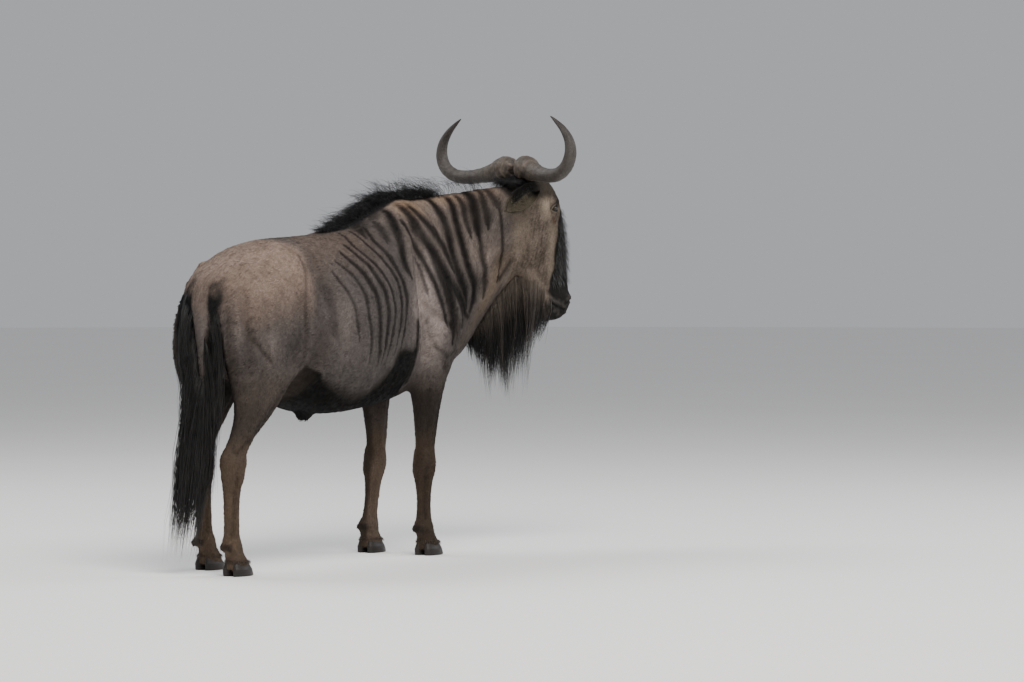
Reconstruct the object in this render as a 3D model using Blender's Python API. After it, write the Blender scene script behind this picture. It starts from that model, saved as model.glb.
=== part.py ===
"""A blue wildebeest bull, life size, standing with its head up.

Metres, +Z up. The animal faces -Y and its left side is +X. The origin is on the floor under the
middle of its outline. In the tables below, u is the distance forward of the hind hooves, z is the
height above the floor, and both are in metres.
"""

import math
import random

import bmesh
import bpy
import numpy as np
from mathutils import Matrix, Vector

SIDE_NAMES = {-1: "right", 1: "left"}

GAP = 0.0003
SIDES = 28
RINGS_PER_ROW = 5
BODY_VOXEL = 0.008
HEAD_VOXEL = 0.004
BODY_TRIANGLES = 3500
HEAD_TRIANGLES = 1700
SPARE = 0.012

# Head: the poll is the top of the skull, between the horns. Yaw turns the nose to the animal's left.
POLL = Vector((-0.195, -1.570, 1.405))
HEAD_YAW = math.radians(-10)
HEAD_PITCH = math.radians(-5)
EYE_RADIUS = 0.0205
EYE_AT = Vector((0.0665, -0.078, -0.104))
EYE_FACING = Vector((0.90, -0.42, 0.05)).normalized()
LID_THICK = 0.0045
LID_OPENING = (0.0175, 0.0100)

# Legs: how far each hoof is set forward of its leg's own line, how far its knee or hock is, and how
# far the knee or hock is set in towards the middle.
STANCE = {
    ("fore", -1): (-0.020, -0.018, 0.000),
    ("fore", 1): (-0.060, 0.022, 0.000),
    ("hind", -1): (-0.075, 0.000, 0.000),
    ("hind", 1): (0.075, 0.020, 0.026),
}
STANCE_TOP_Z = 0.72
CORONET_Z = 0.047
CLEFT = 0.004
CLAW_SIDES = 12

# Side view of the trunk: u, back z, belly z, z of the widest point, half width.
TRUNK = (
    (-0.150, 0.975, 0.890, 0.930, 0.025),
    (-0.135, 1.015, 0.820, 0.930, 0.070),
    (-0.095, 1.068, 0.750, 0.925, 0.112),
    (-0.025, 1.115, 0.705, 0.930, 0.155),
    (0.070, 1.158, 0.680, 0.940, 0.188),
    (0.180, 1.185, 0.640, 0.940, 0.203),
    (0.290, 1.197, 0.592, 0.910, 0.214),
    (0.420, 1.203, 0.556, 0.865, 0.236),
    (0.560, 1.216, 0.547, 0.850, 0.254),
    (0.700, 1.256, 0.556, 0.860, 0.248),
    (0.840, 1.312, 0.574, 0.890, 0.222),
    (0.960, 1.342, 0.596, 0.920, 0.198),
    (1.060, 1.340, 0.628, 0.940, 0.180),
    (1.150, 1.290, 0.690, 0.950, 0.150),
    (1.220, 1.180, 0.790, 0.950, 0.095),
)

# Neck: u and z of the crest, u and z of the throat line, half width, centre x.
NECK = (
    (0.860, 1.320, 0.900, 0.680, 0.185, 0.000),
    (1.020, 1.342, 1.125, 0.668, 0.172, 0.000),
    (1.130, 1.350, 1.314, 0.718, 0.146, -0.015),
    (1.230, 1.362, 1.420, 0.842, 0.120, -0.048),
    (1.320, 1.376, 1.487, 0.947, 0.104, -0.090),
    (1.410, 1.390, 1.550, 1.028, 0.094, -0.135),
    (1.480, 1.398, 1.607, 1.083, 0.088, -0.168),
    (1.530, 1.398, 1.634, 1.130, 0.080, -0.186),
)

# Head in its own frame: forward and z of the face line, forward and z of the jaw line, half width.
SKULL = (
    (0.050, 0.034, -0.040, 0.030, 0.042),
    (0.090, 0.014, -0.075, 0.008, 0.068),
    (0.126, -0.030, -0.090, -0.040, 0.080),
    (0.150, -0.080, -0.097, -0.092, 0.082),
    (0.164, -0.130, -0.100, -0.150, 0.077),
    (0.177, -0.190, -0.098, -0.214, 0.070),
    (0.187, -0.250, -0.086, -0.276, 0.062),
    (0.189, -0.310, -0.060, -0.338, 0.055),
    (0.187, -0.370, -0.026, -0.394, 0.051),
    (0.184, -0.420, 0.002, -0.440, 0.056),
    (0.178, -0.465, 0.020, -0.484, 0.065),
    (0.162, -0.505, 0.032, -0.522, 0.064),
    (0.126, -0.533, 0.052, -0.544, 0.046),
)

# Legs from the top down: z, u of the front edge, u of the back edge, half width, centre x.
FORELEG = (
    (1.200, 1.030, 0.930, 0.030, 0.100),
    (1.100, 1.110, 0.910, 0.055, 0.110),
    (0.990, 1.180, 0.915, 0.070, 0.118),
    (0.880, 1.215, 0.915, 0.076, 0.123),
    (0.780, 1.200, 0.920, 0.073, 0.127),
    (0.710, 1.160, 0.930, 0.065, 0.130),
    (0.640, 1.128, 0.955, 0.057, 0.130),
    (0.560, 1.110, 0.985, 0.050, 0.128),
    (0.470, 1.099, 1.004, 0.043, 0.126),
    (0.400, 1.093, 1.011, 0.039, 0.125),
    (0.350, 1.100, 1.003, 0.044, 0.125),
    (0.315, 1.098, 1.000, 0.043, 0.125),
    (0.275, 1.084, 1.009, 0.035, 0.125),
    (0.210, 1.078, 1.013, 0.029, 0.125),
    (0.145, 1.079, 1.011, 0.030, 0.125),
    (0.110, 1.088, 1.000, 0.036, 0.125),
    (0.080, 1.094, 1.014, 0.035, 0.125),
    (0.056, 1.109, 1.020, 0.040, 0.125),
    (0.020, 1.120, 1.020, 0.044, 0.125),
)
HINDLEG = (
    (1.110, 0.200, -0.010, 0.045, 0.090),
    (1.010, 0.255, -0.085, 0.070, 0.102),
    (0.900, 0.268, -0.125, 0.078, 0.108),
    (0.800, 0.262, -0.132, 0.077, 0.112),
    (0.720, 0.238, -0.112, 0.070, 0.117),
    (0.640, 0.184, -0.078, 0.059, 0.122),
    (0.560, 0.108, -0.070, 0.048, 0.127),
    (0.490, 0.034, -0.086, 0.038, 0.125),
    (0.440, -0.004, -0.124, 0.037, 0.125),
    (0.400, -0.014, -0.127, 0.043, 0.125),
    (0.350, -0.022, -0.113, 0.038, 0.125),
    (0.295, -0.030, -0.101, 0.032, 0.125),
    (0.220, -0.028, -0.092, 0.029, 0.125),
    (0.150, -0.020, -0.085, 0.030, 0.125),
    (0.112, -0.006, -0.085, 0.037, 0.125),
    (0.082, 0.006, -0.067, 0.035, 0.125),
    (0.056, 0.028, -0.057, 0.040, 0.125),
    (0.020, 0.040, -0.057, 0.044, 0.125),
)

# Muscles, joints and dewclaws, mirrored: x, u, z, then half sizes along x, u and z.
MUSCLES = (
    (0.118, 0.130, 1.040, 0.052, 0.095, 0.065),
    (0.132, 0.255, 1.080, 0.040, 0.040, 0.035),
    (0.105, 0.030, 0.900, 0.070, 0.130, 0.160),
    (0.115, 0.180, 0.780, 0.066, 0.085, 0.105),
    (0.102, 1.010, 1.110, 0.060, 0.100, 0.150),
    (0.112, 1.130, 0.885, 0.070, 0.085, 0.100),
    (0.112, 0.990, 0.850, 0.072, 0.090, 0.130),
)
SHEATH = (0.000, 0.455, 0.558, 0.020, 0.055, 0.036)
DEWCLAW = (0.019, 0.012, 0.014, 0.017)
DEWCLAW_AT = {"fore": (1.008, 0.100), "hind": (-0.077, 0.102)}

# The same in the head's frame: cheek, brow, upper lip and chin.
FACE = (
    (0.036, 0.004, -0.210, 0.036, 0.086, 0.122),
    (0.056, 0.084, -0.076, 0.034, 0.044, 0.027),
    (0.040, 0.128, -0.458, 0.034, 0.046, 0.042),
    (0.020, 0.072, -0.510, 0.034, 0.032, 0.032),
)

# Grooves and ridges of the body, in side view and mirrored: points (u, z), width, height.
BODY_STROKES = (
    (((0.930, 1.220), (0.895, 1.060), (0.915, 0.900), (0.960, 0.760)), 0.030, -0.012),
    (((1.080, 1.230), (1.125, 1.060), (1.150, 0.950)), 0.024, 0.006),
    (((0.915, 0.960), (1.000, 0.900), (1.100, 0.865)), 0.020, -0.007),
    (((1.185, 0.930), (1.190, 0.900)), 0.045, 0.010),
    (((0.310, 1.080), (0.330, 0.980)), 0.050, -0.016),
    (((0.250, 0.625), (0.310, 0.700), (0.345, 0.800)), 0.026, 0.009),
    (((-0.070, 1.000), (-0.072, 0.860), (-0.062, 0.720)), 0.020, -0.012),
    (((0.020, 0.960), (0.010, 0.840), (0.000, 0.700)), 0.018, -0.005),
    (((0.170, 1.020), (0.205, 0.880), (0.160, 0.740)), 0.030, -0.006),
    (((0.205, 0.750), (0.195, 0.720)), 0.040, 0.010),
    (((1.500, 1.180), (1.350, 1.020), (1.240, 0.880)), 0.026, -0.008),
    (((1.030, 0.290), (1.032, 0.140)), 0.008, -0.005),
    (((-0.072, 0.340), (-0.064, 0.140)), 0.008, -0.005),
    (((-0.030, 0.470), (-0.085, 0.430)), 0.012, -0.006),
)

# The same on the head, in its own frame: points (x, forward, z), width, height.
MOUTH = ((0.000, 0.168, -0.509), (0.038, 0.156, -0.507), (0.058, 0.116, -0.499), (0.056, 0.080, -0.482),
         (0.052, 0.054, -0.464))
NOSTRIL = ((0.040, 0.181, -0.450), (0.053, 0.168, -0.464), (0.061, 0.147, -0.468))
HEAD_STROKES = (
    (MOUTH, 0.0055, -0.009),
    (tuple((x, a, z + 0.014) for x, a, z in MOUTH[:4]), 0.009, 0.003),
    (tuple((x, a, z - 0.012) for x, a, z in MOUTH[:4]), 0.008, 0.003),
    (NOSTRIL, 0.016, 0.006),
    (NOSTRIL, 0.0075, -0.013),
    (((0.000, 0.187, -0.472), (0.000, 0.171, -0.503)), 0.006, -0.004),
    (((0.076, 0.072, -0.140), (0.070, 0.090, -0.180), (0.060, 0.104, -0.270)), 0.022, 0.004),
    (((0.078, 0.075, -0.140), (0.074, 0.085, -0.158)), 0.006, -0.004),
    (((0.070, -0.060, -0.080), (0.074, -0.070, -0.160), (0.060, -0.050, -0.260)), 0.014, 0.004),
)

# A horn in the head's frame: x, back, z and radius along its middle.
HORN = (
    (0.012, 0.036, 0.058, 0.0140),
    (0.018, 0.036, 0.060, 0.0320),
    (0.036, 0.036, 0.062, 0.0465),
    (0.066, 0.040, 0.060, 0.0495),
    (0.104, 0.048, 0.050, 0.0395),
    (0.155, 0.060, 0.040, 0.0315),
    (0.218, 0.076, 0.034, 0.0285),
    (0.282, 0.088, 0.041, 0.0275),
    (0.330, 0.092, 0.070, 0.0265),
    (0.353, 0.090, 0.115, 0.0245),
    (0.347, 0.086, 0.164, 0.0205),
    (0.316, 0.082, 0.208, 0.0150),
    (0.274, 0.079, 0.242, 0.0085),
    (0.244, 0.077, 0.262, 0.0020),
)
HORN_SIDES = 9

# The ears in the head's frame: their root, the way each points, and the way its cup faces. The right
# one is laid back along the neck, the left one stands out.
EAR_ROOT = Vector((0.070, 0.030, -0.022))
EAR_ALONG = {-1: Vector((0.24, 0.90, -0.34)).normalized(), 1: Vector((0.66, 0.46, -0.59)).normalized()}
EAR_FACES = {-1: Vector((0.84, -0.06, 0.40)).normalized(), 1: Vector((0.45, -0.83, -0.32)).normalized()}
EAR_LENGTH = 0.180
EAR_WIDTH = 0.032
EAR_THICK = 0.0045
EAR_BEND = 0.020
EAR_STEPS = 8
EAR_ARC = 6

# The dock, the fleshy part of the tail: u, z, x and radius.
DOCK = (
    (-0.085, 0.990, 0.000, 0.038),
    (-0.128, 0.968, -0.004, 0.034),
    (-0.154, 0.905, -0.016, 0.027),
    (-0.162, 0.800, -0.028, 0.021),
    (-0.160, 0.700, -0.035, 0.017),
    (-0.158, 0.610, -0.038, 0.010),
)

# The mane: a low ridge of dense hair and the locks that lie back over it. Rise and reach are
# measured from the crest at the place the tip lies over.
MANE_HEIGHT = 0.045
MANE_LOCKS = 18
MANE_RISE = 0.080
MANE_REACH = (0.080, 0.140)
MANE_WIDTH = 0.058
LOCK_SINK = 0.030

# The beard from throat to chin: u and z of a root, u and z of the tip below it, and x of both.
BEARD = (
    (1.429, 0.813, 1.449, 0.774, -0.032),
    (1.450, 0.848, 1.463, 0.735, -0.055),
    (1.475, 0.902, 1.488, 0.688, -0.080),
    (1.499, 0.948, 1.519, 0.642, -0.105),
    (1.524, 0.994, 1.544, 0.630, -0.130),
    (1.563, 1.037, 1.563, 0.649, -0.155),
    (1.588, 1.025, 1.578, 0.684, -0.175),
    (1.623, 1.005, 1.603, 0.753, -0.188),
    (1.651, 0.959, 1.634, 0.807, -0.197),
    (1.665, 0.908, 1.668, 0.857, -0.204),
)
BEARD_CORE = 0.50
BEARD_LOCKS = 10
BEARD_WIDTH = 0.052
BEARD_SPREAD = 0.030

# The tail's hair: z of the roots on the dock, z of the tips, how far the tips stand out.
TAIL_HAIR = (
    (0.930, 0.600, 0.036),
    (0.850, 0.400, 0.050),
    (0.760, 0.250, 0.066),
    (0.690, 0.150, 0.076),
    (0.635, 0.070, 0.062),
)
TAIL_LOCKS = 4
TAIL_WIDTH = 0.050
TAIL_SWING = Vector((0.075, 0.015, 0.0))

# Cuts between nodes, in side view: (u, z) of the outline of each piece, with its range of x.
FORELEG_CUT = ((0.860, 0.650), (1.000, 0.720), (1.230, 0.775), (1.320, 0.690), (1.320, CORONET_Z),
               (0.860, CORONET_Z))
HINDLEG_CUT = ((-0.320, 0.760), (0.100, 0.700), (0.290, 0.600), (0.290, CORONET_Z), (-0.320, CORONET_Z))
LEG_CUT_X = {"fore": (0.052, 0.400), "hind": (0.030, 0.400)}
SHOULDER_LINE = ((0.960, 1.600), (1.564, 0.000))
HEAD_LINE = ((1.405, 1.700), (1.530, 1.125), (1.545, 0.000))

COLOURS = {
    "hide": (0.145, 0.115, 0.098, 0.75, 0.0),
    "dark_hide": (0.070, 0.045, 0.034, 0.75, 0.0),
    "face_hide": (0.200, 0.150, 0.115, 0.75, 0.0),
    "black_hair": (0.012, 0.010, 0.010, 0.70, 0.0),
    "horn": (0.085, 0.072, 0.060, 0.45, 0.0),
    "hoof": (0.022, 0.019, 0.017, 0.50, 0.0),
    "eye": (0.015, 0.009, 0.006, 0.08, 0.0),
}


def clear_scene():
    for old in list(bpy.data.objects):
        bpy.data.objects.remove(old, do_unlink=True)


def spline_rows(rows, steps):
    """Rows joined by a smooth curve, with so many steps between each pair."""
    rows = np.array(rows, float)
    padded = np.vstack([2 * rows[0] - rows[1], rows, 2 * rows[-1] - rows[-2]])
    found = []
    for i in range(len(rows) - 1):
        p0, p1, p2, p3 = padded[i : i + 4]
        for t in np.arange(steps) / steps:
            found.append(
                0.5 * (2 * p1 + (p2 - p0) * t + (2 * p0 - 5 * p1 + 4 * p2 - p3) * t**2
                       + (3 * p1 - p0 - 3 * p2 + p3) * t**3)
            )
    found.append(rows[-1])
    return np.array(found)


def mesh_of(name, points, faces):
    mesh = bpy.data.meshes.new(name)
    mesh.from_pydata([tuple(p) for p in points], [], faces)
    mesh.update()
    return mesh


def add_object(name, mesh):
    obj = bpy.data.objects.new(name, mesh)
    bpy.context.scene.collection.objects.link(obj)
    return obj


def rings_mesh(name, rings, tip=False):
    """A closed tube through rings of points, its ends filled, or drawn to a point at the last ring."""
    count = len(rings[0])
    points = [p for ring in rings for p in ring]
    faces = [tuple(range(count))[::-1]]
    for i in range(len(rings) - 1):
        for j in range(count):
            k = (j + 1) % count
            faces.append((i * count + j, i * count + k, (i + 1) * count + k, (i + 1) * count + j))
    last = (len(rings) - 1) * count
    if tip:
        points = points[:last] + [np.mean(rings[-1], axis=0)]
        faces = [f for f in faces if max(f) < last]
        faces += [((len(rings) - 2) * count + j, (len(rings) - 2) * count + (j + 1) % count, last)
                  for j in range(count)]
    else:
        faces.append(tuple(range(last, last + count)))
    mesh = mesh_of(name, points, faces)
    face_outward(mesh)
    return mesh


def face_outward(mesh):
    work = bmesh.new()
    work.from_mesh(mesh)
    bmesh.ops.recalc_face_normals(work, faces=work.faces)
    if work.calc_volume(signed=True) < 0:
        bmesh.ops.reverse_faces(work, faces=work.faces)
    work.to_mesh(mesh)
    work.free()


def section(top, bottom, middle, half_width, centre_x, square=2.3):
    """One outline round the body: top, bottom and widest point in side view, and the half width.

    The higher the value of square, the fuller the corners; at 2 it is an ellipse.
    """
    ring = []
    for i in range(SIDES):
        angle = 2 * math.pi * i / SIDES
        side, rise = math.cos(angle), math.sin(angle)
        side = math.copysign(abs(side) ** (2 / square), side)
        rise = math.copysign(abs(rise) ** (2 / square), rise)
        spot = middle + (top - middle if rise > 0 else bottom - middle) * abs(rise)
        ring.append((centre_x + half_width * side, -spot[0], spot[1]))
    return ring


def trunk_mesh():
    rings = []
    for u, back, belly, widest, half in spline_rows(TRUNK, RINGS_PER_ROW):
        ends = [np.array((u, z)) for z in (back, belly, widest)]
        rings.append(section(*ends, half, 0.0))
    return rings_mesh("trunk", rings)


def neck_mesh():
    rings = []
    for u1, z1, u2, z2, half, x in spline_rows(NECK, RINGS_PER_ROW):
        top, bottom = np.array((u1, z1)), np.array((u2, z2))
        rings.append(section(top, bottom, top * 0.45 + bottom * 0.55, half, x, square=2.0))
    return rings_mesh("neck", rings)


def skull_mesh():
    rings = []
    for a1, z1, a2, z2, half in spline_rows(SKULL, RINGS_PER_ROW):
        face, jaw = np.array((a1, z1)), np.array((a2, z2))
        rings.append(section(face, jaw, face * 0.58 + jaw * 0.42, half, 0.0, square=2.7))
    return rings_mesh("skull", rings)


def head_matrix():
    turn = Matrix.Rotation(HEAD_YAW, 4, "Z") @ Matrix.Rotation(HEAD_PITCH, 4, "X")
    return Matrix.Translation(POLL) @ turn


def leg_mesh(kind, side):
    rows = FORELEG if kind == "fore" else HINDLEG
    rings = []
    for z, front, back, half, x in spline_rows(rows, RINGS_PER_ROW):
        shift = float(stance_shift(kind, side, z))
        ends = np.array((front + shift, z)), np.array((back + shift, z))
        inward = STANCE[kind, side][2] * float(np.sin(np.pi * np.clip(z / STANCE_TOP_Z, 0, 1)))
        rings.append(section(*ends, (ends[0] + ends[1]) / 2, half, side * (x - inward), square=2.15))
    return rings_mesh("leg", rings)


def ellipsoid_mesh(x, u, z, rx, ru, rz, segments=24, rings=16):
    work = bmesh.new()
    place = Matrix.Translation((x, -u, z)) @ Matrix.Diagonal((rx, ru, rz, 1))
    bmesh.ops.create_uvsphere(work, u_segments=segments, v_segments=rings, radius=1, matrix=place)
    mesh = bpy.data.meshes.new("ellipsoid")
    work.to_mesh(mesh)
    work.free()
    return mesh


def joined(name, meshes):
    work = bmesh.new()
    for mesh in meshes:
        work.from_mesh(mesh)
    mesh = bpy.data.meshes.new(name)
    work.to_mesh(mesh)
    work.free()
    return mesh


def evaluated_mesh(obj):
    """The object's mesh with its modifiers applied; the object itself is removed."""
    graph = bpy.context.evaluated_depsgraph_get()
    mesh = bpy.data.meshes.new_from_object(obj.evaluated_get(graph))
    bpy.data.objects.remove(obj, do_unlink=True)
    return mesh


def fused_flesh(meshes, voxel, smoothing):
    """Overlapping closed meshes made into one skin, its joins rounded off."""
    obj = add_object("flesh", joined("flesh", meshes))
    remesh = obj.modifiers.new("fuse", "REMESH")
    remesh.mode = "VOXEL"
    remesh.voxel_size = voxel
    smooth = obj.modifiers.new("round", "SMOOTH")
    smooth.factor = 0.5
    smooth.iterations = smoothing
    return evaluated_mesh(obj)


def coarse(mesh, triangles):
    """The mesh with its faces merged until about so many triangles are left."""
    mesh.calc_loop_triangles()
    obj = add_object("coarse", mesh)
    fewer = obj.modifiers.new("fewer", "DECIMATE")
    fewer.ratio = triangles / len(mesh.loop_triangles)
    obj.modifiers.new("flat", "TRIANGULATE")
    return evaluated_mesh(obj)


def combined(mesh, others, operation):
    """The mesh united with, cut by or kept inside the others, its largest closed surface alone."""
    collection = bpy.data.collections.new("others")
    bpy.context.scene.collection.children.link(collection)
    for other in others:
        collection.objects.link(bpy.data.objects.new("other", other))
    obj = add_object("combined", mesh)
    cut = obj.modifiers.new("cut", "BOOLEAN")
    cut.operand_type = "COLLECTION"
    cut.collection = collection
    cut.operation = operation
    cut.solver = "MANIFOLD"
    result = evaluated_mesh(obj)
    for other in list(collection.objects):
        bpy.data.objects.remove(other, do_unlink=True)
    bpy.data.collections.remove(collection)
    return largest_surface(result)


def largest_surface(mesh):
    work = bmesh.new()
    work.from_mesh(mesh)
    left = set(work.verts)
    groups = []
    while left:
        group, edge = set(), [left.pop()]
        while edge:
            vertex = edge.pop()
            group.add(vertex)
            near = {e.other_vert(vertex) for e in vertex.link_edges} & left
            left -= near
            edge += near
        groups.append(group)
    keep = max(groups, key=len)
    bmesh.ops.delete(work, geom=[v for v in work.verts if v not in keep], context="VERTS")
    bmesh.ops.triangulate(work, faces=work.faces)
    result = bpy.data.meshes.new("kept")
    work.to_mesh(result)
    work.free()
    return result


def grown(mesh, amount):
    """A copy with every face moved out by the amount."""
    copy = mesh.copy()
    normals = [v.normal.copy() for v in copy.vertices]
    for vertex, normal in zip(copy.vertices, normals):
        vertex.co += normal * amount
    return copy


def prism(outline, low_x, high_x, margin=0.0):
    """A flat outline in side view carried across from one x to another, its margin added all round."""
    middle = np.mean(outline, axis=0)
    ring = []
    for corner in outline:
        out = np.array(corner) - middle
        ring.append(np.array(corner) + out / np.linalg.norm(out) * margin * 1.4)
    sides = (low_x - margin, high_x + margin)
    return rings_mesh("prism", [[(x, -u, z) for u, z in ring] for x in sides])


def stance_shift(kind, side, z):
    """How far forward of its own line a leg stands at this height."""
    hoof, knee, _ = STANCE[kind, side]
    rise = np.clip(np.asarray(z) / STANCE_TOP_Z, 0.0, 1.0)
    return hoof * (1 - rise) + knee * np.sin(np.pi * rise)


def to_segments(points, path):
    """The distance from each point to a path of straight segments."""
    nearest = np.full(len(points), 1e9)
    for start, end in zip(path[:-1], path[1:]):
        start, along = np.array(start), np.array(end) - np.array(start)
        t = np.clip((points - start) @ along / (along @ along), 0, 1)
        nearest = np.minimum(nearest, np.linalg.norm(points - start - t[:, None] * along, axis=1))
    return nearest


def coordinates(mesh):
    points = np.empty(len(mesh.vertices) * 3)
    mesh.vertices.foreach_get("co", points)
    normals = np.empty(len(mesh.vertices) * 3)
    mesh.vertices.foreach_get("normal", normals)
    return points.reshape(-1, 3), normals.reshape(-1, 3)


def carve_body(mesh):
    """Raises or sinks the skin along each stroke of the body."""
    points, normals = coordinates(mesh)
    u = -points[:, 1]
    z = points[:, 2]
    side = np.where(points[:, 0] < 0, -1, 1)
    for kind, here in (("fore", u > 0.6), ("hind", u <= 0.6)):
        for which in (-1, 1):
            leg = here & (side == which)
            u[leg] -= stance_shift(kind, which, z[leg])
    flat = np.column_stack([u, z])
    facing = np.clip(np.abs(normals[:, 0]) * 1.6 - 0.3, 0, 1)
    height = np.zeros(len(points))
    for path, width, rise in BODY_STROKES:
        height += rise * np.exp(-((to_segments(flat, path) / width) ** 2))
    points += normals * (height * facing)[:, None]
    mesh.vertices.foreach_set("co", points.ravel())
    mesh.update()


def carve_head(mesh):
    """The same for the head: mouth, lips, nostrils, cheek and the corner of the eye."""
    points, normals = coordinates(mesh)
    back = np.array(head_matrix().inverted())
    local = points @ back[:3, :3].T + back[:3, 3]
    local = np.column_stack([np.abs(local[:, 0]), -local[:, 1], local[:, 2]])
    height = np.zeros(len(points))
    for path, width, rise in HEAD_STROKES:
        height += rise * np.exp(-((to_segments(local, path) / width) ** 2))
    points += normals * height[:, None]
    mesh.vertices.foreach_set("co", points.ravel())
    mesh.update()


def head_pieces():
    """Skull, face muscles and the balls that carry the lids, all placed on the neck."""
    pieces = [skull_mesh()]
    for side in (-1, 1):
        pieces += [ellipsoid_mesh(side * m[0], *m[1:]) for m in FACE]
        pieces.append(eye_ball(side, EYE_RADIUS + LID_THICK))
    place = head_matrix()
    for piece in pieces:
        piece.transform(place)
    return pieces


def eye_ball(side, radius, segments=24, rings=16):
    """A ball at the eye's place, in the head's frame."""
    return ellipsoid_mesh(side * EYE_AT.x, -EYE_AT.y, EYE_AT.z, radius, radius, radius, segments, rings)


def body_pieces():
    pieces = [trunk_mesh(), neck_mesh(), ellipsoid_mesh(*SHEATH)]
    pieces += [leg_mesh(kind, side) for kind, side in STANCE]
    for side in (-1, 1):
        pieces += [ellipsoid_mesh(side * m[0], *m[1:]) for m in MUSCLES]
        for kind, (u, z) in DEWCLAW_AT.items():
            u += float(stance_shift(kind, side, z))
            centre = side * FORELEG[-1][4]
            pieces += [ellipsoid_mesh(centre + x, u, z, *DEWCLAW[1:]) for x in (-DEWCLAW[0], DEWCLAW[0])]
    return pieces


def horn_mesh(side):
    rings = []
    path = spline_rows(HORN, 2)
    for i, (x, back, z, radius) in enumerate(path):
        ahead = path[min(i + 1, len(path) - 1)][:3] - path[max(i - 1, 0)][:3]
        along = Vector(ahead).normalized()
        across = along.cross(Vector((0, 1, 0))).normalized()
        up = across.cross(along)
        ring = []
        for j in range(HORN_SIDES):
            angle = 2 * math.pi * j / HORN_SIDES
            spot = Vector((x, back, z)) + across * math.cos(angle) * radius + up * math.sin(angle) * radius
            ring.append((spot.x * side, spot.y, spot.z))
        rings.append(ring)
    mesh = rings_mesh("horn", rings, tip=True)
    mesh.transform(head_matrix())
    return mesh


def ear_mesh(side):
    """A leaf rolled round its length into a cup, open towards its facing side."""
    along = EAR_ALONG[side]
    across = EAR_FACES[side].cross(along).normalized()
    faces = along.cross(across).normalized()
    rings = []
    for i in range(EAR_STEPS + 1):
        s = i / EAR_STEPS
        width = EAR_WIDTH * (0.55 + 0.45 * math.sin(math.pi * min(1, 1.1 * s + 0.05))) * (1 - s**4) + 0.005
        roll = math.radians(115 - 60 * s)
        radius = width / math.sin(min(roll, math.pi / 2))
        middle = EAR_ROOT + along * EAR_LENGTH * s - faces * EAR_BEND * s * s
        outer, inner = [], []
        for j in range(EAR_ARC + 1):
            turn = 2 * j / EAR_ARC - 1
            thick = EAR_THICK * (1 - 0.5 * turn * turn) * (1 - 0.5 * s)
            for ring, reach in ((outer, radius), (inner, radius - thick)):
                out = across * math.sin(roll * turn) - faces * math.cos(roll * turn)
                spot = middle + faces * radius + out * reach
                ring.append((spot.x * side, spot.y, spot.z))
        rings.append(outer + inner[::-1])
    mesh = rings_mesh("ear", rings)
    mesh.transform(head_matrix())
    return mesh


def claw_mesh(kind, side, half):
    """One half of a cloven hoof, flat below, its inner wall straight and its toe rounded forward."""
    rows = FORELEG if kind == "fore" else HINDLEG
    front, back = rows[-1][1], rows[-1][2]
    centre = side * rows[-1][4]
    levels = ((CORONET_Z - GAP, 0.000, 0.000, 0.018), (0.024, 0.013, 0.005, 0.022), (0.000, 0.022, 0.004, 0.022))
    rings = []
    for z, ahead, behind, half_width in levels:
        shift = float(stance_shift(kind, side, CORONET_Z))
        toe, heel = front - 0.010 + ahead + shift, back + 0.006 - behind + shift
        ring = []
        for j in range(CLAW_SIDES):
            angle = 2 * math.pi * j / CLAW_SIDES
            across, along = math.cos(angle), math.sin(angle)
            narrow = 1 - 0.45 * max(along, 0) ** 2
            x = CLEFT / 2 + half_width * (1 + across * narrow)
            ring.append((centre + half * x, -((toe + heel) / 2 + along * (toe - heel) / 2), z))
        rings.append(ring)
    return rings_mesh("claw", rings)


def dock_mesh():
    rings = []
    for u, z, x, radius in spline_rows(DOCK, 2):
        ring = []
        for j in range(10):
            angle = 2 * math.pi * j / 10
            ring.append((x + math.cos(angle) * radius, -u + math.sin(angle) * radius * 0.8, z))
        rings.append(ring)
    return rings_mesh("dock", rings)


def crest_path():
    """Points along the top of the neck and withers, from the poll back."""
    crest = [(u, z - 0.012, x) for u, z, _, _, _, x in NECK[::-1] if u > 0.9]
    back = [(u, z - 0.012, 0.0) for u, z, _, _, _ in TRUNK[::-1] if 0.5 < u < 0.9]
    return spline_rows(crest + back, 3)


def lock_mesh(path, width, thick, facing):
    """A flat lock of hair along a path, widest near its middle and drawn to a point."""
    rings = []
    last = len(path) - 1
    for i, spot in enumerate(path):
        t = i / last
        along = (path[min(i + 1, last)] - path[max(i - 1, 0)]).normalized()
        across = along.cross(facing).normalized() * width * (0.34 + 0.90 * t - 1.22 * t * t)
        proud = across.cross(along).normalized() * thick * 0.5 * (1 - 0.6 * t)
        if i == last:
            across, proud = across * 0, proud * 0
        rings.append([spot - across, spot - proud, spot + across, spot + proud])
    return rings_mesh("lock", rings, tip=True)


def arched(root, middle, tip, steps=3):
    """A path that leaves the root towards the middle and bends over to the tip."""
    path = []
    for i in range(steps + 1):
        t = i / steps
        path.append(root * (1 - t) ** 2 + middle * 2 * t * (1 - t) + tip * t * t)
    return path


def lengths_along(path):
    """The distance from the start of a path to each of its points."""
    return np.concatenate([[0], np.cumsum(np.linalg.norm(np.diff(path, axis=0), axis=1))])


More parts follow.
